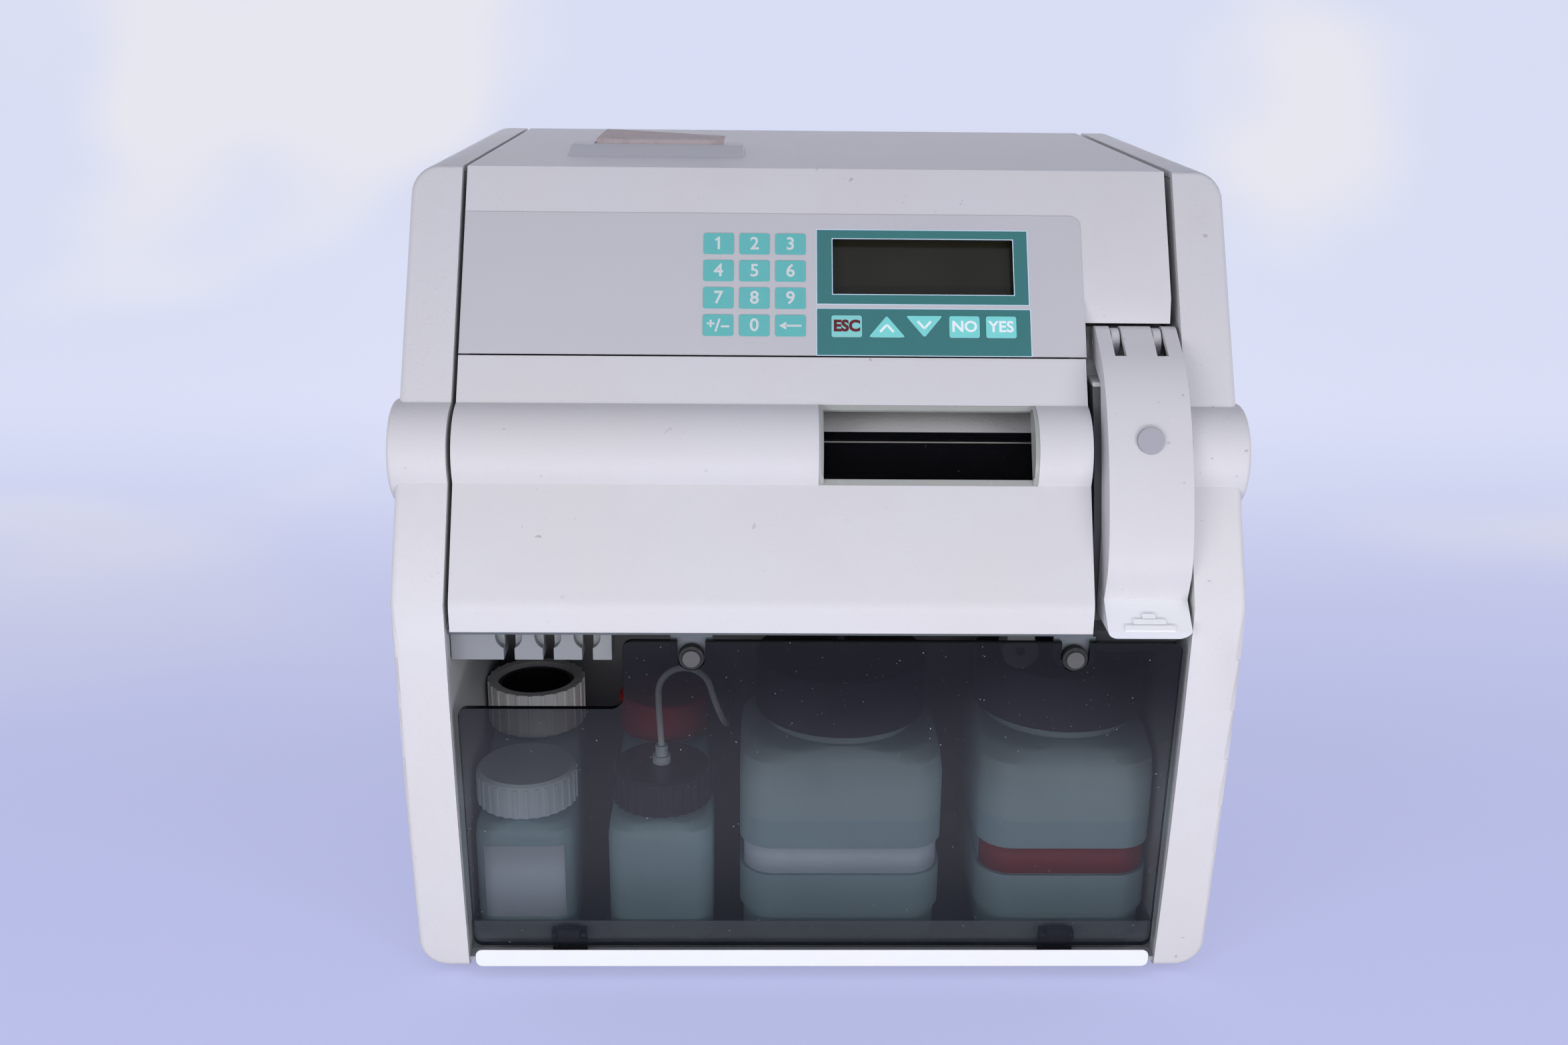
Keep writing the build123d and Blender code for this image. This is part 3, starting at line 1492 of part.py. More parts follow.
def printer_lid():
    """Lid over the paper bay, rising to the rear where the paper leaves."""
    left, right = slot_x
    top = case_height + lid_rise
    face = polygon(
        (lid_front, case_height),
        (lid_ridge, top),
        (lid_rear, top),
        (lid_rear, case_height),
    )
    lid = along_x(face, lid_left, lid_right)
    lid -= block(left, right, slot_front, lid_rear, case_height, top)
    plug_front, plug_rear = lid_front + bay_front + lid_plug, slot_front - bay_margin
    plug_left, plug_right = left - bay_margin + fit, right + bay_margin - fit
    return lid + block(plug_left, plug_right, plug_front, plug_rear, case_height - wall, case_height)


def platen_roller():
    """Rubber feed roller on a thin shaft that runs in the frame's cheeks."""
    roller = rod_x(platen_at, platen_r, *slot_x)
    return roller + rod_x(platen_at, spindle_r, printer_x[0] - cheek, printer_x[1] + cheek)


def paper_roll():
    """Roll of paper, open in the middle for its spindle."""
    left, right = slot_x[0] + paper_side, slot_x[1] - paper_side
    roll = rod_x(roll_at, roll_r, left, right)
    return roll - rod_x(roll_at, roll_core_r + pin_fit, left, right)


def printer_frame():
    """Folded frame with the print head, and with the spindle of the paper roll."""
    left, right = printer_x
    front, rear = printer_y
    top, floor = case_height - printer_drops[0], case_height - printer_drops[1]
    frame = block(left - cheek, right + cheek, front, rear, floor, top)
    frame -= block(left, right, front, rear, floor + cheek, top)
    frame -= rod_x(platen_at, spindle_r + pin_fit, left - cheek, right + cheek)
    frame += rod_x(roll_at, roll_core_r, left, right)
    depth, height = head_size
    y = platen_at[0] - platen_r - head_gap
    low = platen_at[1] - height / 2
    return frame + block(left, right, y - depth, y, low, low + height)


def paper_strip():
    """Strip that leaves the slot, folds to the rear over the lid and ends in a torn edge."""
    left, right = slot_x[0] + paper_side, slot_x[1] - paper_side
    inner = FilletPolyline(
        (paper_y, platen_at[1]),
        (paper_y, case_height + paper_rise),
        (paper_ends[0], case_height + paper_tail_z),
        radius=paper_fold_r,
    )
    outer = offset(inner, amount=paper_thickness, side=Side.LEFT, closed=True)
    sheet = along_x(make_face(outer), left, right)
    beyond = paper_ends[0] + paper_thickness
    torn = polygon(
        (left, paper_ends[0]),
        (right, paper_ends[1]),
        (right, beyond),
        (left, beyond),
    )
    return sheet - along_z(torn, case_height, case_height + 2 * paper_rise)


# ---------------------------------------------------------------- electronics
def main_board():
    """Controller board on four pillars, with its larger packages and connectors."""
    front = bulkhead_y + plate + mainboard_stand
    back = front + board_thickness
    half = inner_x - mainboard_inset
    low, high = mainboard_z[0], case_height - mainboard_z[1]
    board = block(-half, half, front, back, low, high)
    for x, z, width, height, thickness in board_parts:
        plan = Pos(x * half, low + z * (high - low)) * Rectangle(width, height)
        board += along_y(plan, back, back + thickness)
    middle = Pos(0, (low + high) / 2)
    pillars = GridLocations(2 * half - pillar_inset, high - low - pillar_inset, 2, 2)
    for spot in pillars:
        board += along_y(middle * spot * Circle(post_r), bulkhead_y + plate, front)
    return board


def power_supply():
    """Enclosed power supply on the tray."""
    width, depth, height = supply_size
    right, rear = inner_x - supply_inset, rear_in - supply_rear
    return block(right - width, right, rear - depth, rear, base_z, base_z + height)


# ---------------------------------------------------------------- build every node
right_panel = side_panel()
save("right_side_panel", right_panel)
save("left_side_panel", mirror(right_panel, about=Plane.YZ))
save("chassis_tray", chassis_tray())
save("bulkhead", bulkhead())
save("deck", deck())
save("rear_panel", rear_panel())
save("feet", *feet())
save("base_lip", base_lip())

save("top_cover", top_cover())
save("keypad_overlay", keypad_overlay())
save("display_module", display_module())
save("display_glass", display_glass())

save("front_cover", front_cover())
save("cover_window", cover_window())
save("cover_hinge_arms", *cover_hinge_arms())

save("sample_flap", sample_flap())
save("status_lens", status_lens())
save("flap_hinge_pin", flap_hinge_pin())
save("sample_port_housing", sample_port_housing())
save("fill_port", fill_port())

save("bottle_door", bottle_door())
save("door_hinge_blocks", *door_hinge_blocks())
save("door_hinge_brackets", *door_hinge_brackets())
save("catch_grommets", *catch_grommets())
save("catch_screws", *catch_screws())

save("drip_tray", drip_tray())
small_cap = (small_neck_r, cap_overhang, small_neck, small_cap_height, cap_ribs)
save("reference_bottle", small_bottle(reference_at, reference_size, small_shoulder, small_neck))
save("reference_cap", cap(reference_at, *small_cap))
save("cleaner_bottle", small_bottle(cleaner_at, cleaner_size, small_shoulder, small_neck))
save("cleaner_cap", cap(cleaner_at, *small_cap) + hose_spigot(cleaner_at, small_cap_top))
for name, centre, size in (("wash", wash_at, wash_size), ("waste", waste_at, waste_size)):
    lid = cap(centre, large_neck_r, large_cap_overhang, large_neck, large_cap_height)
    save(f"{name}_bottle", large_bottle(centre, size))
    save(f"{name}_cap", lid + hose_spigot(centre, large_cap_top))
rear_left = small_bottle(rear_left_at, rear_left_size, rear_left_shoulder, rear_left_neck)
rear_right = small_bottle(rear_right_at, rear_right_size, rear_right_shoulder, rear_right_neck)
save("rear_bottles", rear_left, rear_right)
save("rear_ring_cap", rear_ring_cap())
save("rear_ring_insert", rear_ring_insert())
rear_cap = cap(rear_right_at, small_neck_r, rear_cap_overhang, rear_right_neck, rear_cap_height)
save("rear_right_cap", rear_cap)
save("tube_comb", tube_comb())
save("hose_coupling", hose_coupling())
save("cleaner_tube", tube_along(cleaner_route, tube_r))

save("measuring_chamber", measuring_chamber())
save("electrodes", *[electrode(x) for x in electrode_x])
save("chamber_window", chamber_window())
save("chamber_hood", chamber_hood())
save("pump_housing", pump_housing())
save("pump_motor", pump_motor())
save("pump_rotor", pump_rotor())
save("pump_rollers", *[pump_roller(spot) for spot in roller_spots])
save("pinch_valves", *pinch_valves())

save("printer_lid", printer_lid())
save("printer_frame", printer_frame())
save("platen_roller", platen_roller())
save("paper_roll", paper_roll())
save("paper_strip", paper_strip())

save("power_inlet", power_inlet())
save("power_rocker", power_rocker())
save("gas_nipples", *gas_nipples())
save("main_board", main_board())
save("power_supply", power_supply())
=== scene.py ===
# %% [markdown]
# # A bench-top blood gas analyser
# This lesson dresses a finished mechanical model of a laboratory instrument. The moulded
# covers, the smoked door, the sample flap and the bottles are already there at their real
# size. What they still need is what a moulding shop, a screen printer and years of use add:
# soft edges, grain, printed keys, milky plastic, a curled strip of paper, and light.

import json
from math import cos, pi, radians, sin

import bmesh
import bpy
from mathutils import Matrix, Vector


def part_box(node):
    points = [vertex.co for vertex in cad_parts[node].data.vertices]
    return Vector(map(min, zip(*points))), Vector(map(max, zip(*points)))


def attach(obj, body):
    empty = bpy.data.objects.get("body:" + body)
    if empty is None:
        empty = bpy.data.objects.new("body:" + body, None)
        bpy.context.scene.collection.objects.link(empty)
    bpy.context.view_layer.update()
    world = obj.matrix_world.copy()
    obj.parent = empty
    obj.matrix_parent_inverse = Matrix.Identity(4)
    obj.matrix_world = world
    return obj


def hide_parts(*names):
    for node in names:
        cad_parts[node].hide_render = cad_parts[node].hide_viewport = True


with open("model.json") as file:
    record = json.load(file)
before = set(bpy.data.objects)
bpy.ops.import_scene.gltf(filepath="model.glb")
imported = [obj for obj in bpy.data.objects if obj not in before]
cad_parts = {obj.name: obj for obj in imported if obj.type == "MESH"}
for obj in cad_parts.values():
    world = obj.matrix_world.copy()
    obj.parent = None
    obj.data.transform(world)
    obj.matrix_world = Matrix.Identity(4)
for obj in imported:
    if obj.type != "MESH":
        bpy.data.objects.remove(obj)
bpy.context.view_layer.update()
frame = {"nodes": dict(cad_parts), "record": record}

# %% [markdown]
# ## One set of places
# The cabinet is easiest to describe in millimetres from its own corner: X to the right from
# the middle, Y to the rear from the front top edge, Z up from the underside of the side
# panels. The model's origin lies elsewhere, so a small function moves a point across. It could
# hold the shift as a number, but it takes it from a side panel, whose rear face and underside
# are known, so the two stay together.

# %% Cabinet coordinates
MM = 0.001
CASE_HEIGHT = 352.0
CASE_REAR = 212.0
FASCIA_TILT = radians(31.4)
LEFT, RIGHT = Vector((-1, 0, 0)), Vector((1, 0, 0))
DOWN, UP = Vector((0, 0, -1)), Vector((0, 0, 1))
panel_low, panel_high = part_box("left_side_panel")
SHIFT = Vector((0.0, panel_high.y - CASE_REAR * MM, panel_low.z))


def cab(x, y, z):
    """A point given in cabinet millimetres, in scene metres."""
    return Vector((x, y, z)) * MM + SHIFT


def height(z):
    """A level given in cabinet millimetres, in scene metres."""
    return cab(0, 0, z).z


def fascia_matrix(lift=0.0):
    """Local X right, local Y up the slope, local Z out of the fascia; origin on its top edge."""
    up_slope = Vector((0, sin(FASCIA_TILT), cos(FASCIA_TILT)))
    outward = Vector((0, -cos(FASCIA_TILT), sin(FASCIA_TILT)))
    matrix = Matrix((RIGHT, up_slope, outward)).transposed().to_4x4()
    matrix.translation = cab(0, 0, CASE_HEIGHT) + outward * lift * MM
    return matrix


print("cabinet corner at", [round(v, 4) for v in cab(0, 0, 0)])

# %% [markdown]
# ## Shader sums written as sums
# A finish is mostly arithmetic on a few noise patterns. Wiring Math nodes by hand hides that,
# so a small class wraps a shader socket and turns +, - and * into Math nodes. The reflected
# forms let a sum start with a plain number, as in 1 - mask.


# %% A socket that can be summed
class Wire:
    """An output socket that can be used in a sum."""

    def __init__(self, finish, socket):
        self.finish = finish
        self.socket = socket

    def math(self, operation, *values):
        return self.finish.add("ShaderNodeMath", {"operation": operation}, *values)

    def __add__(self, other):
        return self.math("ADD", self, other)

    def __radd__(self, other):
        return self.math("ADD", other, self)

    def __sub__(self, other):
        return self.math("SUBTRACT", self, other)

    def __rsub__(self, other):
        return self.math("SUBTRACT", other, self)

    def __mul__(self, other):
        return self.math("MULTIPLY", self, other)

    def __rmul__(self, other):
        return self.math("MULTIPLY", other, self)

    def most(self, other):
        """The larger of two values."""
        return self.math("MAXIMUM", self, other)

    def ramp(self, low, high):
        """0 below low, 1 above high, smooth between."""
        return self.finish.add(
            "ShaderNodeMapRange", {"interpolation_type": "SMOOTHSTEP"}, self, low, high, 0.0, 1.0
        )


# %% [markdown]
# ## A finish
# On the real object a finish is a resin, a coat or a film. Here it is a material with one
# Principled shader. A class owns the material, hands out places on the surface in metres, and
# adds any other node by its type, its settings and its values, so that each finish below
# reads as a short recipe. Patterns use Object coordinates, so their grain has a real size.


# %% A material and its nodes
class Finish:
    """One material, built from a Principled shader."""

    def __init__(self, name):
        self.material = bpy.data.materials.new(name)
        self.material.use_nodes = True
        self.tree = self.material.node_tree
        self.shader = self.tree.nodes["Principled BSDF"]
        self.places = None

    def add(self, kind, settings, *values, out=0):
        """Adds a node: settings first, then values or links for its sockets in order."""
        node = self.tree.nodes.new(kind)
        for key, value in settings.items():
            setattr(node, key, value)
        sockets = [s for s in node.inputs if s.enabled]
        for socket, value in zip(sockets, values):
            self.join(value, socket)
        outputs = [s for s in node.outputs if s.enabled]
        return Wire(self, outputs[out])

    def join(self, value, socket):
        """Links a wire to a socket, or sets a number, vector or colour on it."""
        if isinstance(value, Wire):
            self.tree.links.new(value.socket, socket)
        elif value is not None:
            if hasattr(socket.default_value, "__len__") and not hasattr(value, "__len__"):
                value = (value,) * len(socket.default_value)
            if socket.type == "RGBA" and len(value) == 3:
                value = (*value, 1.0)
            socket.default_value = value

    def position(self):
        """The point on the surface, in metres, as a vector."""
        if self.places is None:
            self.places = self.add("ShaderNodeTexCoord", {}, out=3)
        return self.places

    def xyz(self):
        """The same point as three numbers."""
        node = self.add("ShaderNodeSeparateXYZ", {}, self.position()).socket.node
        return [Wire(self, socket) for socket in node.outputs]

    def noise(self, grain_mm, detail=2.0, rough=0.5, stretch=None):
        """Noise whose features are about grain_mm across."""
        where = self.position()
        if stretch:
            where = self.add("ShaderNodeMapping", {}, where, (0, 0, 0), (0, 0, 0), stretch)
        return self.add("ShaderNodeTexNoise", {}, where, 1000.0 / grain_mm, detail, rough)

    def mix(self, factor, first, second):
        """Blend of two colours."""
        return self.add("ShaderNodeMix", {"data_type": "RGBA"}, factor, first, second)

    def bump(self, height_wire, depth_mm):
        """Raises and sinks the surface by a pattern, as light sees it."""
        node = self.tree.nodes.new("ShaderNodeBump")
        node.inputs["Strength"].default_value = 1.0
        node.inputs["Distance"].default_value = depth_mm * MM
        self.tree.links.new(height_wire.socket, node.inputs["Height"])
        self.tree.links.new(node.outputs[0], self.shader.inputs["Normal"])

    def set(self, **sockets):
        """Values or links for the shader, with spaces in socket names written as _."""
        for key, value in sockets.items():
            self.join(value, self.shader.inputs[key.replace("_", " ")])


def shade(colour, part):
    """A colour at a part of its brightness."""
    return [c * part for c in colour]


# %% [markdown]
# ## Moulded plastic
# Instrument covers are moulded, or sprayed, with a fine leather-like grain. Modelled as
# geometry it would need millions of faces, and seen from a metre away it only breaks up the
# highlights, so the grain is a bump a few hundredths of a millimetre deep. A second, slow
# noise makes the colour uneven by a few per cent, as ageing and cleaning do, and the covers
# carry a few dark specks. One function makes every tone of it.

# %% Grained plastic
SOIL = (0.20, 0.15, 0.11)


def grained_plastic(name, colour, roughness=0.5, grain_mm=0.9, depth_mm=0.035, soil=0.0):
    f = Finish(name)
    grain = f.noise(grain_mm, 3.0, 0.6)
    cloud = f.noise(70.0, 3.0, 0.55)
    yellowed = (colour[0], colour[1] * 0.985, colour[2] * 0.955)
    base = f.mix(cloud.ramp(0.35, 0.7), colour, yellowed)
    base = f.mix(grain.ramp(0.55, 0.75) * 0.5, base, shade(colour, 0.95))
    if soil:
        specks = f.noise(3.6, 1.0, 0.5).ramp(0.75, 0.785) * f.noise(45.0).ramp(0.45, 0.65)
        base = f.mix(specks * soil, base, SOIL)
    f.set(Base_Color=base, Roughness=roughness + (grain - 0.5) * 0.12)
    f.bump(grain, depth_mm)
    return f.material


# %% Tones of the covers and inner mouldings
cover_plastic = grained_plastic(
    "cover plastic", (0.625, 0.610, 0.620), grain_mm=1.2, depth_mm=0.09, soil=0.4
)
panel_plastic = grained_plastic(
    "side panel plastic", (0.640, 0.625, 0.635), grain_mm=1.6, depth_mm=0.15, soil=0.4
)
# Painted light: the hood is the covers' grey plastic made much paler, for the light its upper
# side catches.
painted_light_hood_plastic = grained_plastic(
    "chamber hood plastic with painted light", (0.90, 0.89, 0.88), grain_mm=1.6, depth_mm=0.15
)
# A glossier plastic for the lips, paler than the covers as painted light from below.
glossy_lip_painted_light = grained_plastic("glossy lip plastic with painted light", (0.82, 0.83, 0.84), 0.4, depth_mm=0.01)
port_plastic = grained_plastic("port housing plastic", (0.10, 0.105, 0.11))
comb_plastic = grained_plastic("comb plastic", (0.22, 0.23, 0.24), depth_mm=0.008)
black_plastic = grained_plastic("black plastic", (0.015, 0.015, 0.016), 0.45, depth_mm=0.02)
print("materials with the mouldings:", len(bpy.data.materials))

# %% Tones of the bottle caps
cap_white = grained_plastic("white cap plastic", (0.68, 0.67, 0.65), 0.42, depth_mm=0.01)
cap_frost = grained_plastic("frosted cap plastic", (0.76, 0.87, 0.94), 0.42, depth_mm=0.01)
cap_purple = grained_plastic("purple cap plastic", (0.035, 0.022, 0.045), 0.3, depth_mm=0.01)
cap_red = grained_plastic("red cap plastic", (0.50, 0.02, 0.02), 0.4, depth_mm=0.01)
print("materials with the caps:", len(bpy.data.materials))

# %% [markdown]
# ## Powder-coated sheet steel
# The chassis, the shelf and the back are folded steel with a baked powder coat. It could share
# the plastic's grain, but powder melts into low, wide bumps like orange peel, so it has its
# own slower and shallower noise.


# %% Powder coat
def powder_coat(name, colour):
    f = Finish(name)
    f.set(Base_Color=f.mix(f.noise(90.0), colour, shade(colour, 0.93)), Roughness=0.42)
    f.bump(f.noise(1.8, 1.0, 0.4), 0.03)
    return f.material


chassis_coat = powder_coat("chassis powder coat", (0.52, 0.53, 0.53))
bulkhead_coat = powder_coat("bulkhead powder coat", (0.16, 0.155, 0.16))
deck_coat = powder_coat("deck powder coat", (0.085, 0.10, 0.115))
print("made", chassis_coat.name, "and two darker coats")

# %% [markdown]
# ## Rubber
# Feet, bushes and the paper roller are black rubber. Plain black would look like paint, so a
# coarse noise lays pale dust into it and roughens it.


# %% Rubber
def soft_rubber(name, colour):
    f = Finish(name)
    dust = f.noise(2.5, 4.0, 0.7)
    f.set(Base_Color=f.mix(dust.ramp(0.5, 0.8) * 0.4, colour, (0.09, 0.088, 0.08)))
    f.set(Roughness=0.78)
    f.bump(dust, 0.02)
    return f.material


foot_rubber = soft_rubber("foot rubber", (0.018, 0.018, 0.018))
bush_rubber = soft_rubber("bush rubber", (0.012, 0.012, 0.012))
print("made", foot_rubber.name, "and", bush_rubber.name)

# %% [markdown]
# ## Small metal parts
# Pins, brackets and machined fittings keep the marks of the tool along one direction. An
# anisotropic shader could show that, but the export can't carry it, so the noise itself is
# squeezed along one axis, and it changes tone, roughness and bump together.


# %% Bare metal
def brushed(name, colour, roughness=0.3, metallic=1.0):
    f = Finish(name)
    marks = f.noise(1.0, 3.0, 0.6, stretch=(1 / 40.0, 1 / 2.0, 1 / 2.0))
    f.set(Base_Color=f.mix(marks, colour, shade(colour, 0.8)), Metallic=metallic)
    f.set(Roughness=roughness + marks * 0.15)
    f.bump(marks, 0.006)
    return f.material


zinc = brushed("zinc plate", (0.62, 0.62, 0.60))
steel = brushed("machined steel", (0.40, 0.405, 0.42), 0.38, metallic=0.85)
stud_steel = brushed("stud steel", (0.085, 0.083, 0.082), 0.55, metallic=0.0)
brass = brushed("turned brass", (0.78, 0.57, 0.28), 0.28)
print("materials with the metals:", len(bpy.data.materials))

# %% [markdown]
# ## Keypad film and inks
# The keypad is a polyester film, smoother than the covers, and its fields are screen printed
# on it. An image could hold the print, but flat inks on thin raised plates stay sharp at any
# distance. Each ink is nearly flat, with the faint unevenness of a print pulled by hand.


# %% Film and ink
def keypad_film():
    f = Finish("keypad film")
    texture = f.noise(0.5, 2.0, 0.5)
    cloud = f.noise(60.0, 2.0, 0.5)
    f.set(Base_Color=f.mix(cloud, (0.550, 0.535, 0.550), (0.520, 0.507, 0.520)))
    f.set(Roughness=0.34 + texture * 0.1)
    f.bump(texture, 0.006)
    return f.material


def ink(name, colour, roughness=0.36):
    f = Finish(name)
    cover = f.noise(6.0, 3.0, 0.6)
    f.set(Base_Color=f.mix(cover, colour, shade(colour, 0.93)), Roughness=roughness)
    f.bump(f.noise(0.5, 2.0, 0.5), 0.004)
    return f.material


film = keypad_film()
teal_ink = ink("teal ink", (0.038, 0.182, 0.174))
outline_ink = ink("outline ink", (0.62, 0.78, 0.86))
key_ink = ink("key ink", (0.128, 0.49, 0.46))
bright_key_ink = ink("bright key ink", (0.21, 0.70, 0.65))
escape_key_ink = ink("escape key ink", (0.24, 0.64, 0.60))
glyph_ink = ink("glyph ink", (0.66, 0.69, 0.68))
bright_glyph_ink = ink("bright glyph ink", (0.90, 0.94, 0.94))
escape_ink = ink("escape ink", (0.12, 0.006, 0.01))
white_label = ink("white label", (0.72, 0.84, 0.95), 0.4)
red_label = ink("red label", (0.30, 0.004, 0.010), 0.6)
print("materials with the inks:", len(bpy.data.materials))

# %% [markdown]
# ## Smoked sheet
# The door is thin smoked acrylic. Real refraction would bend little and would cut off the
# light that the bottle bay needs, so it is made by partial opacity with a polished surface.
# Years of wiping leave a haze and dust on it. It is paler towards the foot, part haze and part
# painted reflection, and painted shade makes it nearly black at the top, where the shelf
# behind it keeps the light out.


# %% Smoked acrylic
def smoked_acrylic():
    f = Finish("smoked acrylic")
    z = f.xyz()[2]
    haze = f.noise(90.0, 3.0, 0.6)
    scuff = f.noise(1.5, 5.0, 0.75)
    dust = f.noise(1.3, 2.0, 0.6).ramp(0.74, 0.77)
    # Painted shade: darker towards the top, where the shelf behind keeps the light out.
    painted_shelf_shade = (z + haze * 0.03).ramp(height(100), height(172))
    # Paler above the foot: part haze, part painted reflection.
    above_foot = (z + haze * 0.02).ramp(height(14), height(84))
    tone = f.mix(above_foot, (0.008, 0.011, 0.015), (0.054, 0.055, 0.062))
    tone = f.mix(painted_shelf_shade, tone, (0.008, 0.008, 0.010))
    f.set(Base_Color=f.mix(dust, tone, (0.50, 0.52, 0.54)))
    f.set(Roughness=0.10 + scuff.ramp(0.5, 0.8) * 0.12)
    # The opacity carries the painted shade at the top too; haze and dust vary it.
    f.set(Alpha=0.36 + painted_shelf_shade * 0.26 + (haze - 0.5) * 0.08 + dust * 0.30)
    f.set(IOR=1.49, Specular_IOR_Level=0.25)
    return f.material


door_acrylic = smoked_acrylic()
print("made", door_acrylic.name, "with", len(door_acrylic.node_tree.nodes), "nodes")

# %% [markdown]
# ## Clear plastic, polished black and dark glass
# The drum window, the drip tray and the lamp's lens are clear mouldings. They too are made by
# opacity, with fine scratches that dull the polish. The sawn edges of the smoked sheet and the
# glass wall of the measuring chamber let nothing through: they are a polished black with dust.


# %% Clear and polished plastics
def clear_plastic(name, colour, alpha, roughness, wear=0.4, shine=0.5):
    f = Finish(name)
    scratch = f.noise(3.0, 5.0, 0.8)
    f.set(Base_Color=f.mix(scratch.ramp(0.55, 0.8) * wear, colour, (0.8, 0.82, 0.8)))
    f.set(Roughness=roughness + scratch.ramp(0.5, 0.85) * 0.15, Alpha=alpha, IOR=1.49)
    f.set(Specular_IOR_Level=shine)
    return f.material


def polished_black(name, roughness, colour=(0.002, 0.002, 0.003), shine=0.35):
    f = Finish(name)
    dust = f.noise(1.4, 2.0, 0.6).ramp(0.73, 0.77)
    f.set(Base_Color=f.mix(dust * 0.5, colour, (0.30, 0.30, 0.32)))
    f.set(Roughness=roughness + dust * 0.3, Specular_IOR_Level=shine)
    return f.material


window_clear = clear_plastic("window clear plastic", (0.02, 0.02, 0.02), 0.04, 0.03, 0.1, 0.2)
window_flange = clear_plastic("window flange plastic", (0.37, 0.375, 0.345), 0.90, 0.3, 0.3)
tray_clear = clear_plastic("tray clear plastic", (0.30, 0.32, 0.34), 0.45, 0.2)
lens_clear = clear_plastic("lens plastic", (0.40, 0.39, 0.42), 0.94, 0.3, 0.1)
sawn_edge = polished_black("sawn acrylic edge", 0.16)
chamber_glass = polished_black("chamber glass", 0.2, shine=0.0)
# Painted highlight: a thin pale line where the seam at the hood's foot catches the light.
painted_seam_highlight = polished_black("painted seam highlight", 0.3, (0.16, 0.145, 0.12))
print("materials with the clear plastics:", len(bpy.data.materials))

# %% [markdown]
# ## Milky bottles
# The bottles are blow-moulded polyethylene. Light enters the wall and comes out a little
# further on, and the liquid shows as a darker body below its level. A hollow shell with a
# liquid inside would be the long way. A solid that scatters light a few millimetres deep and
# changes tone at the level looks the same through a smoked door.

# %% Bottle polyethylene
LIQUID_LEVEL = height(70)


def milky_bottle(name, wall, liquid):
    f = Finish(name)
    z = f.xyz()[2]
    wave = f.noise(25.0, 2.0, 0.5)
    filled = 1.0 - (z + wave * 0.002).ramp(LIQUID_LEVEL - 0.001, LIQUID_LEVEL + 0.001)
    base = f.mix(filled, wall, liquid)
    base = f.mix(wave.ramp(0.4, 0.8) * 0.3, base, shade(wall, 0.86))
    # Painted shade: each bottle darkens towards the bay floor.
    painted_floor_shade = 1.0 - (z + wave * 0.01).ramp(height(22), height(66))
    base = f.mix(painted_floor_shade * 0.7, base, shade(liquid, 0.45))
    f.set(Base_Color=base, Roughness=0.34 + wave * 0.1, Subsurface_Weight=0.25)
    f.set(Subsurface_Radius=(0.006, 0.007, 0.007), Subsurface_Scale=1.0)
    f.bump(wave, 0.10)
    return f.material


bottle_milk = milky_bottle("bottle polyethylene", (0.45, 0.60, 0.63), (0.38, 0.56, 0.61))
print("made", bottle_milk.name, "with", len(bottle_milk.node_tree.nodes), "nodes")

# %% [markdown]
# ## Display glass, circuit board and paper
# Three flat things close the list. The display's glass is nearly black with an olive bloom.
# The board inside is green lacquer over a regular pattern of tracks, for which a brick pattern
# is enough behind the vents. The thermal paper is fibrous, and has darkened in stains.


# %% Glass, board and paper
def display_glass():
    f = Finish("display glass")
    bloom = f.noise(35.0, 2.0, 0.5)
    f.set(Base_Color=f.mix(bloom, (0.013, 0.013, 0.007), (0.024, 0.023, 0.013)))
    f.set(Roughness=0.16, Specular_IOR_Level=0.3)
    return f.material


def circuit_board():
    f = Finish("circuit board")
    tracks = f.add("ShaderNodeTexBrick", {"offset": 0.5}, f.position(), out=1)
    lacquer = f.mix(f.noise(12.0), (0.02, 0.16, 0.07), (0.03, 0.22, 0.10))
    f.set(Base_Color=f.mix(tracks * 0.4, lacquer, (0.30, 0.24, 0.08)), Roughness=0.38)
    return f.material


def thermal_paper():
    f = Finish("thermal paper")
    fibre = f.noise(0.6, 3.0, 0.7)
    stain = f.noise(9.0, 5.0, 0.75)
    tone = f.mix(stain.ramp(0.45, 0.7), (0.60, 0.50, 0.48), (0.46, 0.36, 0.33))
    f.set(Base_Color=f.mix(fibre * 0.35, tone, (0.66, 0.58, 0.56)), Roughness=0.72)
    f.bump(fibre, 0.02)
    return f.material


lcd_glass = display_glass()
board_green = circuit_board()
paper_aged = thermal_paper()
print("materials with the paper:", len(bpy.data.materials))

# %% [markdown]
# ## Dressing the rigid parts
# The solids arrive as loose triangles with knife-sharp edges, which catch no light. Modelling
# each part again would only copy it. Instead each one is copied, its doubled points are
# merged, and flat triangles are dissolved into whole faces. A small bevel then rounds the
# edges that turn by more than a fold, as a mould or a deburring tool would. Smooth shading
# with the sharp edges kept makes curved stretches read as curved.

# %% From a bmesh to a shaded object
BODY_OF = {n: b for b, names in frame["record"]["behaviour"]["bodies"].items() for n in names}
MERGE_DISTANCE = 0.000002
FLAT_ANGLE = radians(0.3)
BEVEL_ANGLE = radians(32)


def finish_mesh(bm, name, material, smooth_angle=35.0):
    """Turns a bmesh into an object with smooth shading and sharp creases."""
    limit = radians(smooth_angle)
    for edge in bm.edges:
        edge.smooth = len(edge.link_faces) != 2 or edge.calc_face_angle(0.0) < limit
    for face in bm.faces:
        face.smooth = True
    mesh = bpy.data.meshes.new(name)
    bm.to_mesh(mesh)
    bm.free()
    mesh.materials.append(material)
    piece = bpy.data.objects.new(name, mesh)
    bpy.context.scene.collection.objects.link(piece)
    return piece


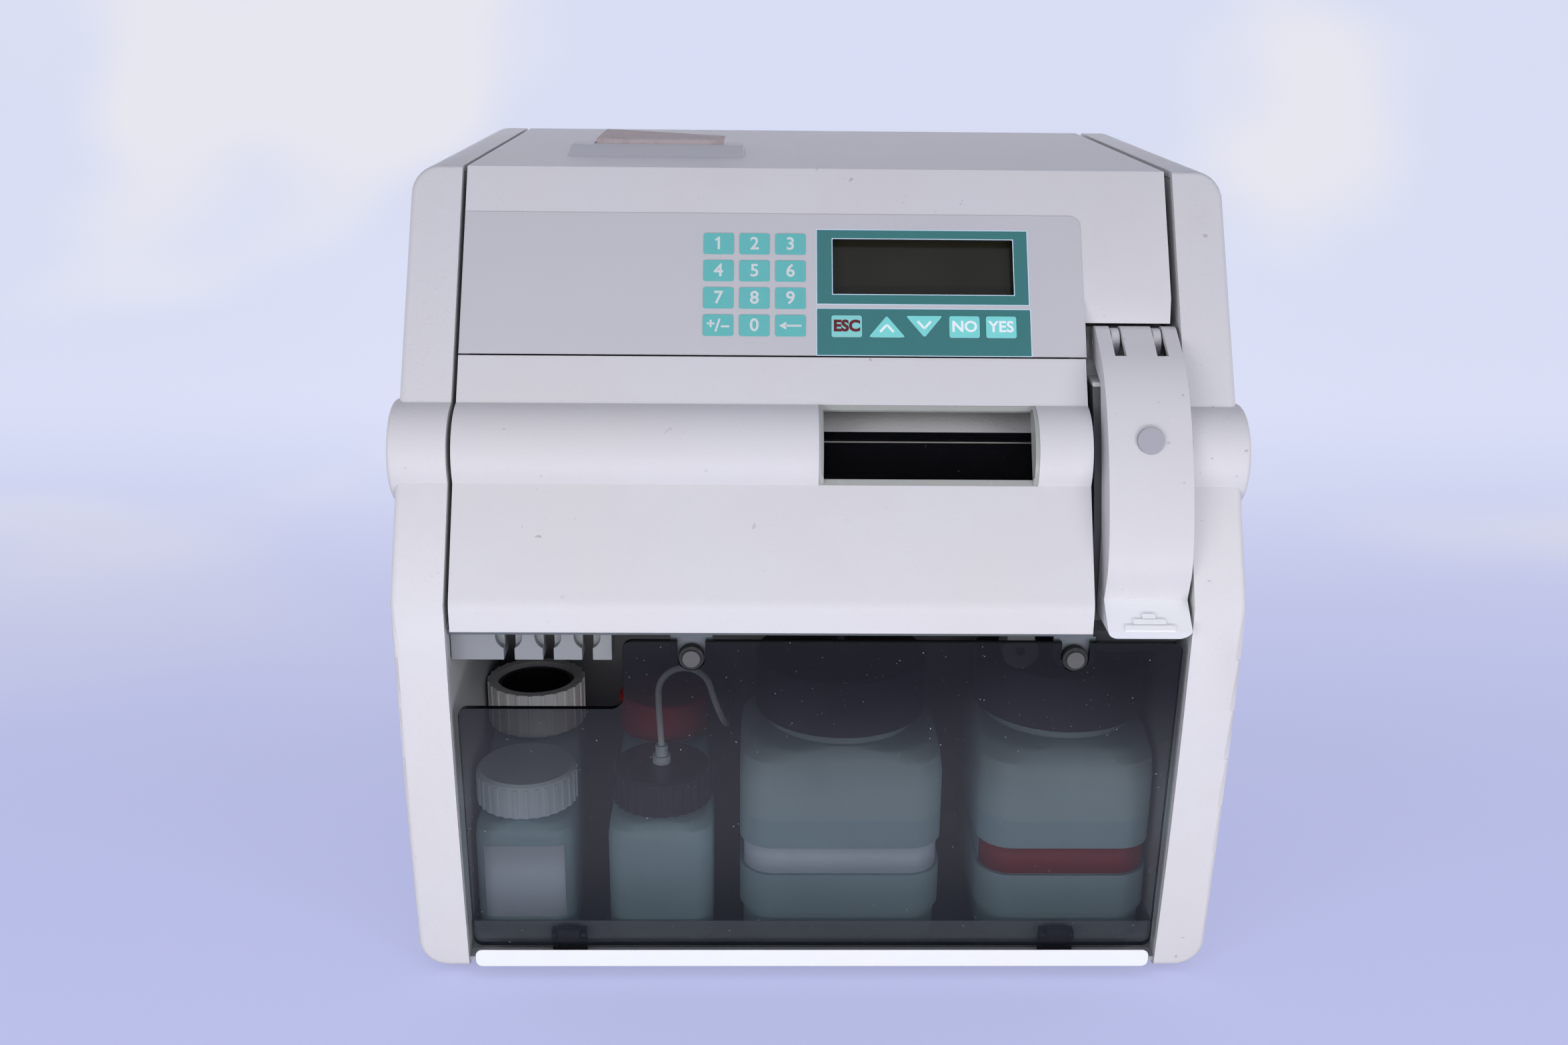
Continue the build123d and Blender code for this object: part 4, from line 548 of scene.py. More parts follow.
def merged_copy(node):
    """A solid's triangles as whole faces, in a bmesh of their own."""
    bm = bmesh.new()
    bm.from_mesh(frame["nodes"][node].data)
    bmesh.ops.remove_doubles(bm, verts=bm.verts, dist=MERGE_DISTANCE)
    bmesh.ops.dissolve_limit(bm, angle_limit=FLAT_ANGLE, verts=bm.verts, edges=bm.edges)
    return bm


# %% Bevel and dress a part
def soften(piece, width_mm):
    bevel = piece.modifiers.new("soft edges", "BEVEL")
    bevel.width = width_mm * MM
    bevel.segments = 2
    bevel.limit_method = "ANGLE"
    bevel.angle_limit = BEVEL_ANGLE
    bevel.harden_normals = True
    bevel.use_clamp_overlap = True


def dress(node, material, edge_mm):
    """Replaces a solid by a bevelled copy of itself in its real finish."""
    piece = finish_mesh(merged_copy(node), "dressed_" + node, material)
    if edge_mm:
        soften(piece, edge_mm)
    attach(piece, BODY_OF[node])
    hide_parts(node)
    return piece


# %% [markdown]
# ## Which finish goes where
# The covers come first, then the steelwork, the door with its fittings, the bottles, the
# fluid path behind the drum, and the printer and supply. Each line gives a part's finish and
# the width of its soft edge in millimetres: large mouldings have generous edges, machined
# parts hardly any, and a sheet of paper none.

# %% Covers and printed front
COVERS = {
    "left_side_panel": (panel_plastic, 0.6),
    "right_side_panel": (panel_plastic, 0.6),
    "top_cover": (cover_plastic, 0.7),
    "front_cover": (cover_plastic, 0.6),
    "sample_flap": (cover_plastic, 0.1),
    "printer_lid": (cover_plastic, 0.4),
    "base_lip": (glossy_lip_painted_light, 0.5),
    "sample_port_housing": (port_plastic, 0.8),
    "keypad_overlay": (film, 0.08),
    "display_module": (black_plastic, 0.2),
    "display_glass": (lcd_glass, 0.2),
    "cover_window": (window_clear, 0.2),
    "status_lens": (lens_clear, 0.3),
}
pieces = {node: dress(node, material, edge) for node, (material, edge) in COVERS.items()}
print("covers dressed:", len(pieces))

# %% Steelwork, door and fittings
STEELWORK = {
    "chassis_tray": (chassis_coat, 0.2),
    "rear_panel": (chassis_coat, 0.2),
    "bulkhead": (bulkhead_coat, 0.1),
    "deck": (deck_coat, 0.2),
    "feet": (foot_rubber, 0.6),
    "cover_hinge_arms": (zinc, 0.2),
    "flap_hinge_pin": (steel, 0.2),
    "bottle_door": (door_acrylic, 0.25),
    "door_hinge_blocks": (black_plastic, 0.3),
    "door_hinge_brackets": (black_plastic, 0.2),
    "catch_grommets": (bush_rubber, 0.5),
    "catch_screws": (stud_steel, 0.3),
    "drip_tray": (tray_clear, 0.3),
    "tube_comb": (comb_plastic, 0.4),
    "hose_coupling": (comb_plastic, 0.3),
}
pieces |= {node: dress(node, material, edge) for node, (material, edge) in STEELWORK.items()}
print("with steelwork:", len(pieces))

# %% Bottles and caps
BOTTLES = {
    "reference_bottle": (bottle_milk, 1.2),
    "cleaner_bottle": (bottle_milk, 1.2),
    "wash_bottle": (bottle_milk, 1.6),
    "waste_bottle": (bottle_milk, 1.6),
    "rear_bottles": (bottle_milk, 1.2),
    "rear_ring_insert": (black_plastic, 0.3),
    "rear_ring_cap": (cap_white, 0.5),
    "rear_right_cap": (cap_red, 0.4),
    "reference_cap": (cap_frost, 0.4),
    "cleaner_cap": (cap_purple, 0.4),
    "wash_cap": (cap_purple, 0.8),
    "waste_cap": (cap_purple, 0.8),
}
pieces |= {node: dress(node, material, edge) for node, (material, edge) in BOTTLES.items()}
print("with bottles:", len(pieces))

# %% Fluid path, printer and supply
INNER_PARTS = {
    "measuring_chamber": (black_plastic, 0.4),
    "chamber_hood": (painted_light_hood_plastic, 0.3),
    "chamber_window": (chamber_glass, 0.2),
    "electrodes": (steel, 0.3),
    "fill_port": (steel, 0.2),
    "pump_housing": (black_plastic, 0.4),
    "pump_motor": (steel, 0.4),
    "pump_rotor": (steel, 0.2),
    "pump_rollers": (cap_white, 0.2),
    "pinch_valves": (steel, 0.3),
    "printer_frame": (black_plastic, 0.2),
    "platen_roller": (bush_rubber, 0.2),
    "paper_roll": (paper_aged, 0.2),
    "paper_strip": (paper_aged, 0.0),
    "power_inlet": (black_plastic, 0.2),
    "power_rocker": (black_plastic, 0.3),
    "gas_nipples": (brass, 0.2),
    "main_board": (board_green, 0.1),
    "power_supply": (steel, 0.4),
}
pieces |= {node: dress(node, material, edge) for node, (material, edge) in INNER_PARTS.items()}
print("dressed in all:", len(pieces), "parts")

# %% [markdown]
# ## Sawn edges of the door
# A smoked sheet looks black at its sawn edges, because light that enters there never comes
# out. Strips of black along the edges would have to follow every notch. The edges are faces
# of the sheet already, so those that turn away from its flat sides get a second material.

# %% Sawn edges
DOOR_LEAN = radians(3.28)
DOOR_NORMAL = Vector((0, -cos(DOOR_LEAN), -sin(DOOR_LEAN)))


def paint_edges(piece, material, normal, slack=0.5):
    """Gives a second material to the faces that turn away from a sheet's normal."""
    piece.data.materials.append(material)
    for face in piece.data.polygons:
        if abs(face.normal.dot(normal)) < slack:
            face.material_index = 1


paint_edges(pieces["bottle_door"], sawn_edge, DOOR_NORMAL)
door_faces = pieces["bottle_door"].data.polygons
print("sawn faces:", sum(face.material_index for face in door_faces), "of", len(door_faces))

# %% [markdown]
# ## Bottle labels
# The small bottle has a square label, and each large one has a narrow band in the groove
# round its waist. A label could be a bent plate, but the bottle's own skin is a better form
# for it: a copy of the bottle is cut by four planes, only the faces that look forward stay,
# and they are lifted off as a film. So a label follows the corners of the bottle under it.

# %% Labels
LABEL_THICKNESS = 0.15
TURNED_BACK, TURNED_UP = -0.05, 0.3


def skin_label(name, node, material, left, right, low, high):
    """A label cut from a bottle's skin, between its edges in cabinet millimetres."""
    bm = merged_copy(node)
    cuts = (
        (cab(left, 0, 0), LEFT),
        (cab(right, 0, 0), RIGHT),
        (cab(0, 0, low), DOWN),
        (cab(0, 0, high), UP),
    )
    for place, outward in cuts:
        bmesh.ops.bisect_plane(
            bm, geom=[*bm.verts, *bm.edges, *bm.faces], dist=1e-7,
            plane_co=place, plane_no=outward, clear_outer=True,
        )
    hidden = [
        face for face in bm.faces
        if face.normal.y > TURNED_BACK or abs(face.normal.z) > TURNED_UP
    ]
    bmesh.ops.delete(bm, geom=hidden, context="FACES")
    bmesh.ops.remove_doubles(bm, verts=bm.verts, dist=MERGE_DISTANCE / 2)
    piece = finish_mesh(bm, name, material, 60)
    wall = piece.modifiers.new("film", "SOLIDIFY")
    wall.thickness = LABEL_THICKNESS * MM
    wall.offset = 1.0
    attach(piece, "cabinet")
    return piece


WAIST_LOW, WAIST_HIGH = 41.2, 54.8
labels = [
    skin_label("reference_label", "reference_bottle", white_label, -150.5, -114.0, 19.4, 55.9),
    skin_label("wash_label", "wash_bottle", white_label, -31.8, 57.0, WAIST_LOW, WAIST_HIGH),
    skin_label("waste_label", "waste_bottle", red_label, 75.9, 154.1, WAIST_LOW, WAIST_HIGH),
]
print("label faces:", [len(label.data.polygons) for label in labels])

# %% [markdown]
# ## Two finishes on one moulding
# Some parts change finish along a line. The hood of the measuring chamber, pale partly by
# painted light, turns to dark glass, with a thin painted highlight along the seam at its foot.
# The purple cap has a frosted spigot, the flap a glossier lip that is paler by painted light
# from below, the sample port a dark mouth, and the window a pale flange where it is glued into
# the drum. They could be parts of their own, but there is no joint to see. So the part's faces
# are cut along a plane, and those beyond it get another material.


# %% Paint beyond a plane
def paint_beyond(piece, material, place, outward):
    """Cuts the faces of a piece along a plane and gives those beyond it another material."""
    if material.name not in piece.data.materials:
        piece.data.materials.append(material)
    index = piece.data.materials.find(material.name)
    bm = bmesh.new()
    bm.from_mesh(piece.data)
    bmesh.ops.bisect_plane(
        bm, geom=[*bm.verts, *bm.edges, *bm.faces], dist=1e-7, plane_co=place, plane_no=outward
    )
    for face in bm.faces:
        if (face.calc_center_median() - place).dot(outward) > 1e-6:
            face.material_index = index
    bm.to_mesh(piece.data)
    bm.free()


# %% Hood, spigot, flap and sample port
SEAM_HIGHLIGHT_TOP, DARK_GLASS_TOP = 241.7, 244.7
SPIGOT_FOOT = 86.7
LIP_TOP = 183.2
PORT_MOUTH_TOP = 266
paint_beyond(pieces["chamber_hood"], chamber_glass, cab(0, 0, DARK_GLASS_TOP), DOWN)
# Painted highlight along the seam at the foot of the hood, below the dark glass.
paint_beyond(pieces["chamber_hood"], painted_seam_highlight, cab(0, 0, SEAM_HIGHLIGHT_TOP), DOWN)
paint_beyond(pieces["cleaner_cap"], cap_frost, cab(0, 0, SPIGOT_FOOT), UP)
# The flap's lip is glossier, and paler as painted light from below.
paint_beyond(pieces["sample_flap"], glossy_lip_painted_light, cab(0, 0, LIP_TOP), DOWN)
paint_beyond(pieces["sample_port_housing"], cover_plastic, cab(0, 0, PORT_MOUTH_TOP), UP)
print("hood finishes:", len(pieces["chamber_hood"].data.materials))

# %% Flange of the window
PANE_TOP = cab(0, -57.1, 258.5)
PANE_DOWN = Vector((0, -0.519, -0.855))
FLANGE_ABOVE, FLANGE_BELOW = 2.4, 32.8
PANE_LEFT, PANE_RIGHT = 1.3, 90.9
window = pieces["cover_window"]
paint_beyond(window, window_flange, PANE_TOP + PANE_DOWN * FLANGE_ABOVE * MM, -PANE_DOWN)
paint_beyond(window, window_flange, PANE_TOP + PANE_DOWN * FLANGE_BELOW * MM, PANE_DOWN)
paint_beyond(window, window_flange, cab(PANE_LEFT, 0, 0), LEFT)
paint_beyond(window, window_flange, cab(PANE_RIGHT, 0, 0), RIGHT)
print("window faces:", len(window.data.polygons))

# %% [markdown]
# ## The curled end of the paper
# Thermal paper keeps the curl of its roll, so the strip that leaves the printer lifts towards
# its end. A cloth simulation could find that bend, but it is a single soft one. So each point
# of the strip beyond the slot is raised by its share of the way, less a small sag.

# %% Raise the paper
PAPER_SLOT, PAPER_END = cab(0, 77, 0).y, cab(0, 134, 0).y
PAPER_LIFT, PAPER_SAG = 4.3, 0.5
for point in pieces["paper_strip"].data.vertices:
    way = max(0.0, (point.co.y - PAPER_SLOT) / (PAPER_END - PAPER_SLOT))
    point.co.z += (PAPER_LIFT * way - PAPER_SAG * sin(pi * min(way, 1.0))) * MM
print("paper reaches", round(max(p.co.z for p in pieces["paper_strip"].data.vertices), 4))

# %% [markdown]
# ## Plates on a plane
# Printed fields and keys are flat shapes with round corners, barely thicker than ink. They
# could be cut out of a texture, but a plate keeps its edge sharp at any distance. Each starts as
# one face, its corners are bevelled as points, and the face is extruded. A matrix then lays
# it on the fascia, so the same helpers serve every mark.


# %% Rounded plates
def rounded_face(bm, corners, radius):
    """One face through the corners, with its corners rounded."""
    verts = [bm.verts.new((x, y, 0.0)) for x, y in corners]
    bm.faces.new(verts)
    if radius:
        bmesh.ops.bevel(
            bm, geom=verts, offset=radius, offset_type="OFFSET", segments=5,
            profile=0.5, affect="VERTICES", material=-1,
        )


def thicken(bm, thickness):
    """Gives every loose face a thickness towards +Z, as a closed slab."""
    slab = bmesh.ops.extrude_face_region(bm, geom=list(bm.faces))
    raised = [v for v in slab["geom"] if isinstance(v, bmesh.types.BMVert)]
    bmesh.ops.translate(bm, verts=raised, vec=(0, 0, thickness))
    bmesh.ops.recalc_face_normals(bm, faces=bm.faces)


def printed(name, bm, material, lift):
    """Lays a flat shape on the fascia, at a height above its face in millimetres."""
    bm.transform(fascia_matrix(lift))
    bmesh.ops.recalc_face_normals(bm, faces=bm.faces)
    piece = finish_mesh(bm, name, material)
    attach(piece, "cabinet")
    return piece


# %% Fields and frames
FIELD_THICKNESS = 0.04
LINE_THICKNESS = 0.02


def rectangle(x0, x1, s0, s1):
    """Corners on the fascia in metres: x from the middle, s down the slope, in millimetres."""
    return [(x * MM, -s * MM) for x, s in ((x0, s1), (x1, s1), (x1, s0), (x0, s0))]


def field(name, corners, radius, material, lift, thickness=FIELD_THICKNESS):
    bm = bmesh.new()
    rounded_face(bm, corners, radius * MM)
    thicken(bm, thickness * MM)
    return printed(name, bm, material, lift)


def frame_field(name, outer, inner, material, lift, thickness=FIELD_THICKNESS):
    """A flat ring between two rectangles on the fascia."""
    bm = bmesh.new()
    outer_verts = [bm.verts.new((x, y, 0)) for x, y in rectangle(*outer)]
    inner_verts = [bm.verts.new((x, y, 0)) for x, y in rectangle(*inner)]
    for i in range(4):
        j = (i + 1) % 4
        bm.faces.new((outer_verts[i], outer_verts[j], inner_verts[j], inner_verts[i]))
    thicken(bm, thickness * MM)
    return printed(name, bm, material, lift)


def widened(edges, by):
    """A rectangle's edges, moved outwards."""
    return (edges[0] - by, edges[1] + by, edges[2] - by, edges[3] + by)


# %% [markdown]
# ## The printed fields
# The film carries a dark teal surround for the display and a teal strip behind the five
# function keys, each with a pale line round it. The film's sheet is 0.5 mm thick and its keys
# stand 0.3 mm higher, so the ink of the fields and the ink of the keys lie at two levels. The
# pale line is a thinner plate that shows only past the edge of the teal one.

# %% Surround and strip
SHEET_TOP, KEY_TOP = 0.5, 0.8
OUTLINE = 0.35
WINDOW = (5.5, 85.4, 33.2, 59.6)
SURROUND = (-1.0, 91.4, 29.4, 63.8)
STRIP = (-1.1, 91.8, 66.1, 87.3)
STRIP_CORNER = 0.4
frame_field("teal_surround", SURROUND, WINDOW, teal_ink, SHEET_TOP)
frame_field(
    "surround_outline", widened(SURROUND, OUTLINE), widened(WINDOW, -OUTLINE),
    outline_ink, SHEET_TOP, LINE_THICKNESS,
)
field("teal_strip", rectangle(*STRIP), STRIP_CORNER, teal_ink, SHEET_TOP)
field(
    "strip_outline", rectangle(*widened(STRIP, OUTLINE)), STRIP_CORNER,
    outline_ink, SHEET_TOP, LINE_THICKNESS,
)
print("strip", round(STRIP[1] - STRIP[0], 1), "by", round(STRIP[3] - STRIP[2], 1), "mm")

# %% [markdown]
# ## The keys
# Twelve pale green number keys stand in a grid, and the function keys stand in the strip:
# three pads and two arrows. On the real film they are domes that hardly rise, so each is a
# plate with small round corners. A loop over the grid places them, and keeps each centre for
# the mark that goes on it.

# %% Number keys
KEY_WIDTH, KEY_HEIGHT, KEY_CORNER = 13.2, 9.9, 1.0
GRID_LEFT, GRID_TOP, STEP_X, STEP_S = -50.6, 31.4, 15.7, 12.6
SIGN, BACK = "sign", "back"
LABELS = (("1", "2", "3"), ("4", "5", "6"), ("7", "8", "9"), (SIGN, "0", BACK))
key_centres = {}
for row, row_labels in enumerate(LABELS):
    for column, label in enumerate(row_labels):
        x = GRID_LEFT + column * STEP_X
        s = GRID_TOP + row * STEP_S
        corners = rectangle(x, x + KEY_WIDTH, s, s + KEY_HEIGHT)
        field(f"number_key_{row}_{column}", corners, KEY_CORNER, key_ink, KEY_TOP)
        key_centres[label] = (x + KEY_WIDTH / 2, s + KEY_HEIGHT / 2)
print("number keys:", len(key_centres))

# %% Function keys
FUNCTION_S = 74.2
FUNCTION_KEYS = {
    "ESC": (11.8, escape_key_ink),
    "NO": (62.95, bright_key_ink),
    "YES": (78.95, bright_key_ink),
}
for label, (x, colour) in FUNCTION_KEYS.items():
    half_x, half_s = KEY_WIDTH / 2, KEY_HEIGHT / 2
    corners = rectangle(x - half_x, x + half_x, FUNCTION_S - half_s, FUNCTION_S + half_s)
    field(f"function_key_{label}", corners, KEY_CORNER, colour, KEY_TOP)
    key_centres[label] = (x, FUNCTION_S)

ARROWS = (("up", 29.2, 1), ("down", 45.5, -1))
ARROW_HALF = 8.0
for label, x, way in ARROWS:
    tip = way * KEY_HEIGHT / 2
    triangle = ((x - ARROW_HALF, -tip), (x + ARROW_HALF, -tip), (x, tip))
    corners = [(a * MM, (-FUNCTION_S + b) * MM) for a, b in triangle]
    field(f"arrow_key_{label}", corners, KEY_CORNER, bright_key_ink, KEY_TOP)
print("keys:", len(key_centres) + len(ARROWS))

# %% [markdown]
# ## Figures
# The figures are plain sans-serif print. Drawing them as plates would take a page, so they
# come from a text curve, which has a little extra weight as thick ink has. The curve is turned
# into a mesh before its place is applied, so the object itself stays at the origin.

# %% Figures from text
MARK_LIFT, TEXT_LIFT = 0.04, 0.05
WORD_SIZE, FIGURE_SIZE = 7.0, 8.2
ESCAPE_WEIGHT, WORD_WEIGHT, FIGURE_WEIGHT = 0.34, 0.16, 0.14


def letters(name, text, size_mm, centre, material, weight):
    """Text on a key, with its centre in fascia millimetres."""
    curve = bpy.data.curves.new(name, "FONT")
    curve.body = text
    curve.size = size_mm * MM
    curve.align_x = "CENTER"
    curve.align_y = "CENTER"
    curve.offset = weight * MM
    curve.extrude = 0.015 * MM
    curve.resolution_u = 4
    holder = bpy.data.objects.new(name, curve)
    bpy.context.scene.collection.objects.link(holder)
    bpy.context.view_layer.update()
    evaluated = holder.evaluated_get(bpy.context.evaluated_depsgraph_get())
    mesh = bpy.data.meshes.new_from_object(evaluated)
    bpy.data.objects.remove(holder)
    bm = bmesh.new()
    bm.from_mesh(mesh)
    bmesh.ops.remove_doubles(bm, verts=bm.verts, dist=1e-7)
    bpy.data.meshes.remove(mesh)
    bm.transform(Matrix.Translation((centre[0] * MM, -centre[1] * MM, 0)))
    return printed(name, bm, material, KEY_TOP + TEXT_LIFT)


for label, centre in key_centres.items():
    if label == "ESC":
        letters("label_ESC", label, WORD_SIZE, centre, escape_ink, ESCAPE_WEIGHT)
    elif label in FUNCTION_KEYS:
        letters(f"label_{label}", label, WORD_SIZE, centre, bright_glyph_ink, WORD_WEIGHT)
    elif label not in (SIGN, BACK):
        letters(f"label_{label}", label, FIGURE_SIZE, centre, glyph_ink, FIGURE_WEIGHT)
print("figures printed")

# %% [markdown]
# ## Signs and arrows
# The sign key, the back arrow, the flag of the figure one and the chevrons on the arrow keys
# are drawn with strokes: a thin bar for each leg. A text font has such signs too, but not in
# these proportions.


# %% Strokes
def stroke(bm, start, end, width):
    """A flat bar from start to end, in millimetres on the fascia."""
    a, b = Vector((*start, 0)), Vector((*end, 0))
    side = (b - a).normalized().cross(UP) * width / 2
    bm.faces.new([bm.verts.new(p * MM) for p in (a - side, b - side, b + side, a + side)])


def mark(name, strokes, centre, material, width):
    """Strokes round a centre, each from a point to a point in millimetres."""
    x, s = centre
    bm = bmesh.new()
    for start, end in strokes:
        stroke(bm, (x + start[0], -s + start[1]), (x + end[0], -s + end[1]), width)
    thicken(bm, LINE_THICKNESS * MM)
    return printed(name, bm, material, KEY_TOP + MARK_LIFT)


# %% Signs, back arrow and chevrons
THIN, BOLD = 0.9, 1.0
PLUS = [((-4.9, 0.8), (-1.5, 0.8)), ((-3.2, -0.9), (-3.2, 2.5))]
SLASH, MINUS = ((-1.1, -2.9), (0.7, 3.0)), ((1.3, -0.5), (4.9, -0.5))
mark("label_sign", [*PLUS, SLASH, MINUS], key_centres[SIGN], glyph_ink, THIN)
mark("label_1_flag", [((-1.5, 1.7), (0.1, 2.7))], key_centres["1"], glyph_ink, THIN)
mark("label_back", [((-2.2, 0), (4.8, 0))], key_centres[BACK], glyph_ink, THIN)
BACK_HEAD = ((-5.0, 0), (-1.8, -1.8), (-1.8, 1.8))
back_x, back_s = key_centres[BACK]
head = [((back_x + a) * MM, (b - back_s) * MM) for a, b in BACK_HEAD]
field("label_back_head", head, 0, glyph_ink, KEY_TOP + MARK_LIFT, LINE_THICKNESS)
for label, x, way in ARROWS:
    tip, foot = 1.6 * way, -1.7 * way
    legs = [((-2.9, foot), (0, tip)), ((0, tip), (2.9, foot))]
    mark(f"label_{label}", legs, (x, FUNCTION_S + 0.8 * way), bright_glyph_ink, BOLD)
print("signs printed")

# %% [markdown]
# ## The hose of the cleaner bottle
# A silicone hose draws cleaner from the bottle. It rises from the spigot on the purple cap,
# loops over as narrowly as it can without a kink, and goes down and back into the bulkhead.
# A pipe bent from straight runs and arcs would look like wire. So a short list of given points
# guides a NURBS curve, which gives the lazy loop that a soft hose takes.

# %% Cleaner hose
HOSE = [
    (-70.3, -53.0, 95.5),
    (-70.9, -53.0, 106.5),
    (-71.3, -53.0, 116.5),
    (-71.3, -53.0, 126.5),
    (-64.8, -52.3, 133.3),
    (-55.4, -51.0, 133.3),
    (-48.7, -48.3, 126.5),
    (-46.9, -44.4, 117.0),
    (-44.7, -38.5, 107.5),
    (-42.7, -31.0, 98.5),
    (-41.3, -21.0, 91.0),
    (-40.3, -9.0, 85.5),
    (-40.0, 6.0, 82.0),
    (-40.0, 25.0, 83.0),
]
HOSE_DIAMETER = 3.0


def silicone():
    f = Finish("silicone hose")
    cloud = f.noise(8.0)
    f.set(Base_Color=f.mix(cloud, (0.92, 0.94, 0.95), (0.86, 0.88, 0.89)))
    f.set(Roughness=0.38 + cloud * 0.1)
    return f.material


curve = bpy.data.curves.new("cleaner_hose", "CURVE")
curve.dimensions = "3D"
curve.bevel_depth = HOSE_DIAMETER / 2 * MM
curve.bevel_resolution = 5
curve.resolution_u = 12
curve.use_fill_caps = True
spline = curve.splines.new("NURBS")
spline.points.add(len(HOSE) - 1)
for point, place in zip(spline.points, HOSE):
    point.co = (*cab(*place), 1.0)
spline.order_u = 3
spline.use_endpoint_u = True
curve.materials.append(silicone())
hose = bpy.data.objects.new("cleaner_hose", curve)
bpy.context.scene.collection.objects.link(hose)
print("hose guided by", len(spline.points), "points")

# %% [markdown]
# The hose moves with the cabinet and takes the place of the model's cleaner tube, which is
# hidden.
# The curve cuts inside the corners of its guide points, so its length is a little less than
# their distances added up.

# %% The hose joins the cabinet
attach(hose, "cabinet")
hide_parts("cleaner_tube")

# %% [markdown]
# ## Studio paper
# The instrument stands on wide lavender paper that runs up behind it without a corner. A
# plane and a world colour would meet in a hard line, so one profile is swept sideways: floor,
# quarter bend and wall. Lamps alone would light such a large sheet unevenly. So part of its
# brightness is a glow that only the camera, gloss and clear plastic see, and the rest takes
# the real light and shadow.


# %% Studio paper
def seen_by_eye(f):
    """1 for camera, glossy and transmission rays, 0 for the rays that light other things."""
    camera_ray, glossy_ray, transmission_ray = 0, 3, 6
    seen = f.add("ShaderNodeLightPath", {}, out=camera_ray)
    for ray in (glossy_ray, transmission_ray):
        seen = seen.most(f.add("ShaderNodeLightPath", {}, out=ray))
    return seen


def studio_paper():
    f = Finish("studio paper")
    _, y, z = f.xyz()
    cloud = f.noise(620.0, 2.0, 0.5)
    far = (y + z * 0.5).ramp(-0.1, 1.0)
    tone = f.mix(far, (0.61, 0.64, 0.96), (0.70, 0.74, 0.92))
    tone = f.mix(cloud.ramp(0.50, 0.68) * far, tone, (0.82, 0.82, 0.88))
    glow = 0.50 + far * 0.45
    f.set(Base_Color=f.mix(glow, tone, (0, 0, 0)), Roughness=0.7, Specular_IOR_Level=0.1)
    f.set(Emission_Color=f.mix(glow * seen_by_eye(f), (0, 0, 0), tone), Emission_Strength=1.0)
    return f.material


# %% Floor and backdrop
FLOOR_FRONT, BEND_START, BEND_RADIUS, WALL_TOP = -2.6, 0.9, 0.8, 3.4
PAPER_WIDTH = 7.2
profile = [(FLOOR_FRONT, 0.0), (BEND_START, 0.0)]
for turn in range(10, 91, 10):
    y = BEND_START + BEND_RADIUS * sin(radians(turn))
    profile.append((y, BEND_RADIUS - BEND_RADIUS * cos(radians(turn))))
profile.append((BEND_START + BEND_RADIUS, WALL_TOP))
paper_bm = bmesh.new()
rail = [paper_bm.verts.new((-PAPER_WIDTH / 2, y, z)) for y, z in profile]
rail_edges = [paper_bm.edges.new(pair) for pair in zip(rail, rail[1:])]
sweep = bmesh.ops.extrude_edge_only(paper_bm, edges=rail_edges)
far_rail = [v for v in sweep["geom"] if isinstance(v, bmesh.types.BMVert)]
bmesh.ops.translate(paper_bm, verts=far_rail, vec=(PAPER_WIDTH, 0, 0))
floor = finish_mesh(paper_bm, "studio_floor", studio_paper(), 60)
print("floor faces:", len(floor.data.polygons))

# %% [markdown]
# ## Lamps
# Two large lamps beside the camera light the faces that look forward, and leave the top a
# little darker. A low strip reaches under the front cover and through the door. One weak lamp
# overhead keeps the top readable, and three at the sides and behind serve anyone who walks
# round the model. Small bright lamps would do with less space, but they throw hard shadows
# and burn out pale plastic.

# %% Lamps
BESIDE, LOW_STRIP, OVERHEAD = (0.9, 0.9), (1.4, 0.13), (1.4, 1.4)
SIDE, REAR = (0.9, 0.5), (1.2, 0.4)
LAMPS = {
    "left softbox": ((-1.10, -1.30, 0.60), (0, 0, 0.12), BESIDE, 5.8),
    "right softbox": ((1.10, -1.30, 0.60), (0, 0, 0.12), BESIDE, 5.6),
    "low front softbox": ((0.0, -0.80, 0.07), (0, 0, 0.03), LOW_STRIP, 3.8),
    "overhead": ((0.0, 0.1, 1.7), (0, 0, 0.2), OVERHEAD, 1.3),
    "left side softbox": ((-1.60, 0.35, 0.38), (0, 0, 0.15), SIDE, 2.6),
    "right side softbox": ((1.60, 0.35, 0.38), (0, 0, 0.15), SIDE, 2.6),
    "rear softbox": ((0.0, 1.30, 0.42), (0, 0.1, 0.15), REAR, 2.6),
}
for name, (place, aim, size, watts) in LAMPS.items():
    light = bpy.data.lights.new(name, "AREA")
    light.shape = "RECTANGLE"
    light.size, light.size_y = size
    light.energy = watts
    holder = bpy.data.objects.new(name, light)
    bpy.context.scene.collection.objects.link(holder)
    holder.location = place
    holder.visible_camera = False
    holder.rotation_euler = (Vector(aim) - Vector(place)).to_track_quat("-Z", "Y").to_euler()
print("lamps:", len(LAMPS), "with", round(sum(lamp[3] for lamp in LAMPS.values()), 1), "watts")

# %% [markdown]
# ## The air of the studio
# Beyond the lamps, the room itself gives a dim, even light that fills the shadows. The same
# colour would look like dusk in gloss and behind the paper's edge, so the world has two
# colours: a dim one for light, and a paler one for what the camera, gloss and clear plastic
# see. Nothing on the object gets brighter by the second.

